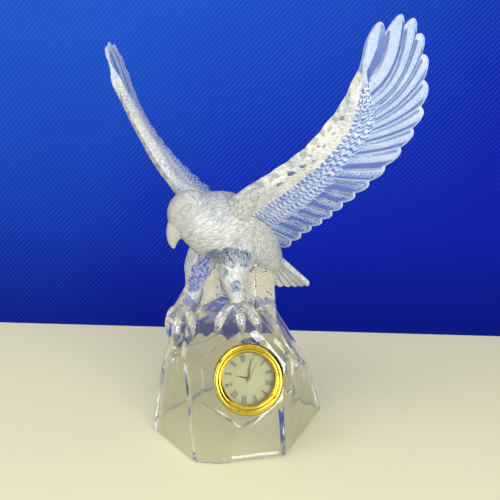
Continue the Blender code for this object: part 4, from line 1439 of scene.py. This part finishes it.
def make_tail(place):
    """Sections along the tail's feathers in its own frame: x back, y left, z up."""
    sizes = settings("tail")
    columns = feather_shares(TAIL_FEATHERS)
    count = 2 * TAIL_ROWS
    rings, coordinates = blank_rings(len(columns), count)
    # The tail takes the arms' lighter satin, as painted light where the lamps reach it less
    finishes = np.full((len(columns) - 1, count), ARM)
    notch = settings("wing").tip_notch
    for column, place_across in enumerate(columns):
        feather = place_across * TAIL_FEATHERS
        across = feather % 1.0
        fan = 2 * place_across - 1
        base = Vector((-sizes.tuck, sizes.root * fan, 0))
        run_length = sizes.reach * (1 - FAN_ROUNDING * fan**2) - notch * (2 * across - 1) ** 2
        turn = sizes.spread * fan
        tip = base + Vector((math.cos(turn), math.sin(turn), 0)) * (run_length + sizes.tuck)
        for index in range(TAIL_ROWS):
            row = index / (TAIL_ROWS - 1)
            spot = base.lerp(tip, row)
            crown = sizes.crown * (1 - fan**2) * (1 - CROWN_LOSS * row)
            end = smooth((row - TAIL_TIP_START) / TAIL_TIP_LENGTH)
            half = (sizes.thickness - sizes.taper * row) * (1 - TAIL_TIP_THINNING * end)
            groove = 1 - ridge(across, GROOVE_PLACE, GROOVE_WIDTH)
            flute = sizes.flute * smooth(row / FLUTE_FADE)
            above = half + flute * sawtooth(across) * groove
            below = half + flute * sawtooth(1 - across) * groove
            rings[column, TAIL_ROWS - 1 - index] = spot + Vector((0, 0, crown + above))
            rings[column, TAIL_ROWS + index] = spot + Vector((0, 0, crown - below))
            for step in (TAIL_ROWS - 1 - index, TAIL_ROWS + index):
                coordinates[column, step] = (feather, row * (run_length + sizes.tuck))
                if column < len(columns) - 1 and CLEAR_LINE_START < across < CLEAR_LINE_END:
                    finishes[column, step] = VEIL
        coordinates[column, count] = coordinates[column, 0]
    root = Matrix.Translation(Vector(TAIL_PLACE) * MILLIMETRE)
    backward = Matrix.Rotation(math.pi, 4, "Z")
    dip = Matrix.Rotation(sizes.dip, 4, "Y")
    roll = Matrix.Rotation(sizes.roll, 4, "X")
    return skin("tail", rings, coordinates, finishes, place @ root @ backward @ dip @ roll)


def make_eagle():
    """All the eagle's shapes, still apart."""
    place = eagle_frame()
    shapes = [make_body(place)] + make_head()
    for name, wing in (("left", LEFT_WING), ("right", RIGHT_WING)):
        shapes.append(make_shoulder(f"{name}_shoulder", wing, place))
        shapes.append(make_wing(f"{name}_wing", wing, place))
    shapes.append(make_tail(place))
    shapes.append(make_leg("right_leg", RIGHT_LEG, place))
    shapes.append(make_leg("left_leg", LEFT_LEG, place))
    for name, toes in (("right_toe", RIGHT_TOES), ("left_toe", LEFT_TOES)):
        for number, points in enumerate(toes):
            shapes.append(make_toe(f"{name}_{number}", points))
    return shapes


# The clock

# The clock's turned forms: their steps round, and the angle over which an edge stays sharp
RIM_STEPS = 128
RIM_CREASE = math.radians(30)
# Room in metres between the clock's case and its bore
BORE_CLEARANCE = 0.0003
# Distance in metres under which two points are one
SAME_PLACE = 1e-7
# The rim's section from its outer edge to the glass: shares of its breadth inward and of its height
RIM_SECTION = [
    (0.06, 0.25), (0.015, 0.32), (0.0, 0.42), (0.015, 0.54), (0.06, 0.68), (0.13, 0.82),
    (0.22, 0.93), (0.31, 0.985), (0.39, 1.0), (0.47, 0.98), (0.54, 0.92), (0.59, 0.84),
    (0.62, 0.75), (0.65, 0.72), (0.72, 0.73), (0.78, 0.70), (0.90, 0.56), (1.0, 0.42),
]


def turned(name, profile, place):
    """A closed profile of (radius, height) in metres, turned round the clock's axis."""
    bm = bmesh.new()
    verts = [bm.verts.new((radius, 0, height)) for radius, height in profile]
    pairs = list(zip(verts, verts[1:]))
    if profile[0][0] > 0:
        pairs.append((verts[-1], verts[0]))
    edges = [bm.edges.new(pair) for pair in pairs]
    bmesh.ops.spin(
        bm, geom=verts + edges, cent=(0, 0, 0), axis=(0, 0, 1), angle=2 * math.pi, steps=RIM_STEPS,
        use_merge=True,
    )
    bmesh.ops.remove_doubles(bm, verts=bm.verts, dist=SAME_PLACE)
    bmesh.ops.recalc_face_normals(bm, faces=bm.faces)
    bm.loops.layers.uv.new("plumage")
    item = drawn(bm, name, place)
    item.data.shade_smooth()
    item.data.set_sharp_from_angle(angle=RIM_CREASE)
    return item


def clock_places(node):
    """A node's corners in the clock's own frame: its greatest radius, lowest and highest point."""
    inward = clock_frame().inverted()
    places = [inward @ vert.co for vert in frame["nodes"][node].data.vertices]
    radius = max(math.hypot(place.x, place.y) for place in places)
    return radius, min(place.z for place in places), max(place.z for place in places)


def make_bore():
    """The cutter of the blind bore that the clock's case fills."""
    radius, bottom, _ = clock_places("clock_case")
    radius += BORE_CLEARANCE
    bottom -= BORE_CLEARANCE
    _, _, above = clock_places("clock_rim")
    return turned("bore", [(0, above), (radius, above), (radius, bottom), (0, bottom)], clock_frame())


def grained_material(name, tone, change, grain_scale, detail, **values):
    """A plain finish whose colour wanders between its tone and change times that tone."""
    made, tree, shader = new_material(name)
    grain = object_noise(tree, Scale=grain_scale, Detail=detail)
    changed = [min(1.0, change * channel) for channel in tone]
    fill_in(tree, shader, Base_Color=blended(tree, grain, tone, changed), **values)
    return made


# The values of noise between which the gold turns worn, how bright worn gold is over new gold, and
# the roughness of new and of worn gold
WEAR_TURN = (0.45, 0.75)
WORN_TONE = 0.72
GOLD_ROUGHNESS = (0.05, 0.16)


def gold_material():
    """Polished plate with darker and duller patches of wear."""
    gold = settings("clock").gold
    made, tree, shader = new_material("polished_gold_plate")
    wear = object_noise(tree, Scale=420.0, Detail=4.0, Roughness=0.6)
    worn_gold = [WORN_TONE * channel for channel in gold]
    fill_in(
        tree, shader, Base_Color=blended(tree, ranged(tree, wear, WEAR_TURN), gold, worn_gold),
        Roughness=ranged(tree, wear, target=GOLD_ROUGHNESS), Metallic=1.0,
    )
    return made


def lens_material():
    """Clear glass with faint smears."""
    made, tree, shader = new_material("clock_glass")
    smears = ranged(tree, object_noise(tree, Scale=160.0, Detail=2.0), target=(0.0, 0.008))
    fill_in(tree, shader, Roughness=smears, IOR=1.45, Transmission_Weight=1.0)
    let_lamps_through(tree, shader, tint=(0.75, 0.75, 0.75))
    return made


# The twelve numerals, clockwise from the dial's own top
NUMERALS = ["XII", "I", "II", "III", "IIII", "V", "VI", "VII", "VIII", "IX", "X", "XI"]
# The height of the print, and half the breadth of its thin circle, in mm
PRINT_RAISE = 0.04
CIRCLE_HALF_WIDTH = 0.035
CIRCLE_STEPS = 96
# A serif's half breadth over a thin stroke's breadth, and how far it stops short of the letters' ends
SERIF_SHARE = 0.35
SERIF_INSET = 0.08
# Each letter's strokes, as the places of foot and head across it and the breadth over that of a thin
# stroke, and the letter's own breadth in mm
LETTERS = {
    "I": ([(0.0, 0.0, 1.4)], 0.62),
    "V": ([(0.0, -0.55, 1.8), (0.0, 0.55, 1.0)], 1.35),
    "X": ([(0.55, -0.55, 1.8), (-0.55, 0.55, 1.0)], 1.45),
}


def add_stroke(bm, start, end, half_width, place):
    """A thin flat bar from start to end on the dial."""
    along = (end - start).normalized()
    side = Vector((-along.y, along.x, 0)) * half_width
    corners = [start - side, start + side, end + side, end - side]
    low = [bm.verts.new(place @ (corner * MILLIMETRE)) for corner in corners]
    rise = Vector((0, 0, PRINT_RAISE))
    high = [bm.verts.new(place @ ((corner + rise) * MILLIMETRE)) for corner in corners]
    bm.faces.new(list(reversed(low)))
    bm.faces.new(high)
    for index in range(4):
        after = (index + 1) % 4
        bm.faces.new((low[index], low[after], high[after], high[index]))


def add_numeral(bm, text, radius, turn, height, place):
    """Letters side by side on the dial, their heads outward, with thin serifs."""
    stroke = settings("clock").stroke
    widths = [LETTERS[letter][1] for letter in text]
    cursor = -sum(widths) / 2
    spin = Matrix.Rotation(-turn, 4, "Z") @ Matrix.Translation((0, radius * MILLIMETRE, 0))
    for letter, width in zip(text, widths):
        middle = cursor + width / 2
        for foot, head, weight in LETTERS[letter][0]:
            add_stroke(
                bm, Vector((middle + foot, -height / 2, 0)), Vector((middle + head, height / 2, 0)),
                stroke * weight / 2, place @ spin,
            )
        cursor += width
    half = sum(widths) / 2 - SERIF_INSET
    for edge in (-height / 2, height / 2):
        ends = (Vector((-half, edge, 0)), Vector((half, edge, 0)))
        add_stroke(bm, *ends, stroke * SERIF_SHARE, place @ spin)


def make_dial_print(finish):
    """Twelve plain numerals and a thin circle, printed on the dial."""
    looks = settings("clock")
    _, _, face = clock_places("clock_dial")
    rim_bore = clock_places("clock_lens")[0] / MILLIMETRE
    place = clock_frame() @ Matrix.Translation((0, 0, face))
    bm = bmesh.new()
    for index, text in enumerate(NUMERALS):
        turn = looks.dial_turn + index * math.pi / 6
        add_numeral(bm, text, looks.numeral_ring * rim_bore, turn, looks.numeral_height, place)
    circle = []
    for step in range(CIRCLE_STEPS + 1):
        turn = 2 * math.pi * step / CIRCLE_STEPS
        circle.append(Vector((math.cos(turn), math.sin(turn), 0)) * looks.inner_ring * rim_bore)
    for start, end in zip(circle, circle[1:]):
        add_stroke(bm, start, end, CIRCLE_HALF_WIDTH, place)
    printed = drawn(bm, "dial_print")
    printed.data.materials.append(finish)
    return printed


def fine_rim_profile():
    """A rounded outer ring, a groove and a slope down to the dial, in metres."""
    radius, bottom, top = clock_places("clock_rim")
    inner = clock_places("clock_lens")[0] + BORE_CLEARANCE
    width = radius - inner
    foot = [(inner, bottom), (radius - RIM_SECTION[0][0] * width, bottom)]
    return foot + [(radius - inward * width, rise * top) for inward, rise in RIM_SECTION]


# The studio

# The camera's place from the rock's middle, and how far it looks down in degrees
CAMERA_PLACE = (0.0055, -0.271, 0.168)
CAMERA_DIP = 13.5
# Its focal length and the breadth of its picture in mm, and the nearest that it sees in metres
CAMERA_LENS = 36.0
CAMERA_FILM = 36.0
CAMERA_NEAR = 0.01
# The floor's back edge behind the rock's middle, its slant, its reach, and its depth under the rock
FLOOR_BACK_EDGE = 0.135
FLOOR_SKEW = 0.072
FLOOR_REACH = 0.6
FLOOR_DROP = 0.0002
# The backdrop's distance behind the frame's origin, in metres
BACKDROP_DISTANCE = 0.62
# The heights at which the backdrop's painted shade is deepest and its painted light brightest, straight
# behind the figurine
BACKDROP_DARK = 0.05
BACKDROP_BRIGHT = 0.75
# How much the backdrop's painted shade deepens to the right for each metre, and how deep its clouds are
BACKDROP_SLANT = 0.45
BACKDROP_CLOUDS = 0.25
# The angle that the weave turns through in a metre, for threads 9.3 mm apart across and up
WEAVE = 2 * math.pi / 0.0093
# The depth of the weave, and how much the threads that cross it add or take
WEAVE_DEPTH = 0.12
WEAVE_CROSSING = 0.06
# Each softbox's place, what it points at, its size and its colour
SOFTBOXES = {
    "key": ((-0.50, -0.40, 0.75), (0, 0, 0.1), (0.7, 0.5), (1.0, 0.98, 0.94)),
    "fill": ((0.40, -0.80, 0.22), (0, 0, 0.1), (0.6, 0.4), (0.97, 0.98, 1.0)),
    "side": ((-0.75, -0.35, 0.22), (0, 0, 0.15), (0.5, 0.5), (1.0, 1.0, 1.0)),
}
# The room's tones low down, overhead and to both sides, and its strength
ROOM_LOW = (0.28, 0.28, 0.30)
ROOM_HIGH = (1.0, 1.0, 0.97)
ROOM_SIDES = (0.02, 0.02, 0.03)
ROOM_STRENGTH = 0.95
# How far up a direction points where the room starts and ends to brighten, how far to either side
# where it starts and ends to darken, and how much it darkens there
ROOM_RISE = (-0.2, 0.9)
ROOM_TURN = (0.55, 0.80)
ROOM_SHADE = 0.9
# How often light may turn on its way through the crystal, and off polished faces
CLEAR_BOUNCES = 24
GLOSS_BOUNCES = 16


def plain_sheet(name, corners, finish):
    mesh = bpy.data.meshes.new(name)
    mesh.from_pydata(corners, [], [tuple(range(len(corners)))])
    mesh.materials.append(finish)
    item = add_object(name, mesh)


def backdrop_material():
    """Blue cloth with painted shade that darkens it downward and to the right, and a fine slanted weave."""
    looks = settings("stage")
    made, tree, shader = new_material("blue_backdrop")
    parts = object_parts(tree)
    across, up = parts["X"], parts["Z"]
    cloud = object_noise(tree, Scale=3.5, Detail=2.0)
    slope = maths(tree, "SUBTRACT", up, maths(tree, "MULTIPLY", across, BACKDROP_SLANT))
    slope = maths(tree, "MULTIPLY_ADD", cloud, BACKDROP_CLOUDS, slope)
    rising = maths(tree, "SINE", maths(tree, "MULTIPLY", maths(tree, "ADD", across, up), WEAVE))
    falling = maths(tree, "SINE", maths(tree, "MULTIPLY", maths(tree, "SUBTRACT", across, up), WEAVE))
    depth = maths(tree, "MULTIPLY_ADD", rising, WEAVE_CROSSING, WEAVE_DEPTH)
    weave = maths(tree, "MULTIPLY", falling, depth)
    # Painted light and shade: the cloth is painted darker downward and to the right
    painted_light_falloff = ranged(tree, maths(tree, "ADD", slope, weave), (BACKDROP_DARK, BACKDROP_BRIGHT))
    fill_in(
        tree, shader, Base_Color=blended(tree, painted_light_falloff, looks.backdrop_painted_shade, looks.backdrop), Roughness=0.9,
        Specular_IOR_Level=0.2,
    )
    return made


def add_softbox(name, place, target, size, power, tone):
    lamp = bpy.data.lights.new(name, "AREA")
    lamp.shape = "RECTANGLE"
    lamp.size, lamp.size_y = size
    lamp.energy = power
    lamp.color = tone
    item = add_object(name, lamp)
    item.location = place
    item.rotation_euler = (Vector(place) - Vector(target)).to_track_quat("Z", "Y").to_euler()


def light_world():
    """A soft pale room, brighter overhead and dark to both sides."""
    world = bpy.data.worlds.new("studio")
    bpy.context.scene.world = world
    world.use_nodes = True
    tree = world.node_tree
    place = add_node(tree, "ShaderNodeTexCoord").outputs["Generated"]
    parts = add_node(tree, "ShaderNodeSeparateXYZ", Vector=place).outputs
    ramp = add_node(tree, "ShaderNodeValToRGB", Fac=ranged(tree, parts["Z"], ROOM_RISE))
    ramp.color_ramp.elements[0].color = (*ROOM_LOW, 1)
    ramp.color_ramp.elements[1].color = (*ROOM_HIGH, 1)
    sides = ranged(tree, maths(tree, "ABSOLUTE", parts["X"]), ROOM_TURN, (0.0, ROOM_SHADE))
    room = blended(tree, sides, ramp.outputs["Color"], ROOM_SIDES)
    fill_in(tree, tree.nodes["Background"], Color=room, Strength=ROOM_STRENGTH)


def add_camera():
    camera = bpy.data.cameras.new("camera")
    camera.lens = CAMERA_LENS
    camera.sensor_width = CAMERA_FILM
    camera.clip_start = CAMERA_NEAR
    item = add_object("camera", camera)
    item.location = ROCK_ORIGIN + Vector(CAMERA_PLACE)
    item.rotation_euler = (math.radians(90 - CAMERA_DIP), 0, 0)
    bpy.context.scene.camera = item


# Operators

def paint(node, finish):
    """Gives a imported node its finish."""
    slots = frame["nodes"][node].data.materials
    slots.clear()
    slots.append(finish)


class FIGURINE_OT_crystal(bpy.types.Operator):
    """Carve the eagle and its rock as one piece of crystal, and bore it for the clock"""

    bl_idname = "figurine.crystal"
    bl_label = "Crystal eagle"

    def execute(self, context):
        finishes = crystal_materials()
        crystal = make_rock()
        shapes = make_eagle()
        for item in [crystal] + shapes:
            finish_with(item, finishes)
        combine(crystal, shapes, "UNION")
        hollow = make_hollow()
        finish_with(hollow, finishes)
        combine(crystal, [make_bore(), hollow], "DIFFERENCE")
        crystal.name = "fine_crystal_eagle"
        while len(crystal.data.materials) > len(finishes):
            crystal.data.materials.pop(index=len(crystal.data.materials) - 1)
        crystal.data.set_sharp_from_angle(angle=FACET_CREASE)
        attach(crystal, "root")
        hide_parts("crystal_eagle")
        return {"FINISHED"}


class FIGURINE_OT_gold(bpy.types.Operator):
    """Turn the polished rim, and plate the rim and the hands"""

    bl_idname = "figurine.gold"
    bl_label = "Gold rim and hands"

    def execute(self, context):
        finish = gold_material()
        rim = turned("fine_clock_rim", fine_rim_profile(), clock_frame())
        rim.data.materials.append(finish)
        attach(rim, "root")
        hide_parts("clock_rim")
        for name in ("hour_hand", "minute_hand", "second_hand"):
            paint(name, finish)
        return {"FINISHED"}


class FIGURINE_OT_dial(bpy.types.Operator):
    """Paint the dial, and print its plain numerals and inner circle"""

    bl_idname = "figurine.dial"
    bl_label = "Dial"

    def execute(self, context):
        looks = settings("clock")
        cream = grained_material(
            "cream_dial", looks.dial, change=1.06, grain_scale=1500.0, detail=2.0, Roughness=0.5
        )
        paint("clock_dial", cream)
        ink = grained_material(
            "dial_ink", looks.print_colour, change=2.2, grain_scale=2500.0, detail=1.0, Roughness=0.6
        )
        printed = make_dial_print(ink)
        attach(printed, "root")
        return {"FINISHED"}


class FIGURINE_OT_case(bpy.types.Operator):
    """Finish the clock's case and its glass"""

    bl_idname = "figurine.case"
    bl_label = "Case and glass"

    def execute(self, context):
        shell = grained_material(
            "moulded_case", settings("clock").case, change=0.85, grain_scale=900.0, detail=2.0,
            Roughness=0.35,
        )
        paint("clock_case", shell)
        paint("clock_lens", lens_material())
        return {"FINISHED"}


class FIGURINE_OT_stage(bpy.types.Operator):
    """Set up the plain floor, the backdrop, the soft lights and the camera"""

    bl_idname = "figurine.stage"
    bl_label = "Studio"

    def execute(self, context):
        looks = settings("stage")
        reach = FLOOR_REACH
        back = ROCK_ORIGIN.y + FLOOR_BACK_EDGE
        skew = reach * FLOOR_SKEW
        floor_corners = [(-reach, -reach), (reach, -reach), (reach, back - skew), (-reach, back + skew)]
        pale = grained_material(
            "pale_floor", looks.floor, change=1.06, grain_scale=2.5, detail=2.0, Specular_IOR_Level=0.2
        )
        plain_sheet("floor", [(*corner, -FLOOR_DROP) for corner in floor_corners], pale)
        wide = 3 * reach
        cloth_corners = [(-wide, -reach), (wide, -reach), (wide, 2 * reach), (-wide, 2 * reach)]
        plain_sheet(
            "backdrop", [(across, BACKDROP_DISTANCE, up) for across, up in cloth_corners],
            backdrop_material(),
        )
        for name, (place, target, size, tone) in SOFTBOXES.items():
            add_softbox(name, place, target, size, getattr(looks, name), tone)
        light_world()
        add_camera()
        context.scene.view_settings.view_transform = "Standard"
        context.scene.cycles.max_bounces = CLEAR_BOUNCES
        context.scene.cycles.glossy_bounces = GLOSS_BOUNCES
        context.scene.cycles.transmission_bounces = CLEAR_BOUNCES
        return {"FINISHED"}


OPERATORS = [
    FIGURINE_OT_crystal,
    FIGURINE_OT_gold,
    FIGURINE_OT_dial,
    FIGURINE_OT_case,
    FIGURINE_OT_stage,
]


class FIGURINE_PT_panel(bpy.types.Panel):
    """Lists the figurine's steps and sizes"""

    bl_idname = "FIGURINE_PT_panel"
    bl_label = "Figurine"
    bl_space_type = "VIEW_3D"
    bl_region_type = "UI"
    bl_category = "Figurine"

    def draw(self, context):
        for operator in OPERATORS:
            self.layout.operator(operator.bl_idname)
        for name, group in GROUPS.items():
            box = self.layout.box()
            box.label(text=name.capitalize())
            for size in group.__annotations__:
                box.prop(settings(name), size)


def register():
    for group in GROUPS.values():
        bpy.utils.register_class(group)
    for name, group in GROUPS.items():
        setattr(bpy.types.Scene, f"figurine_{name}", PointerProperty(type=group))
    for operator in OPERATORS:
        bpy.utils.register_class(operator)
    bpy.utils.register_class(FIGURINE_PT_panel)


def unregister():
    bpy.utils.unregister_class(FIGURINE_PT_panel)
    for operator in reversed(OPERATORS):
        bpy.utils.unregister_class(operator)
    for name, group in reversed(GROUPS.items()):
        delattr(bpy.types.Scene, f"figurine_{name}")
        bpy.utils.unregister_class(group)


def main():
    register()
    for name in ("crystal", "gold", "dial", "case", "stage"):
        getattr(bpy.ops.figurine, name)()


if __name__ == "__main__":
    main()
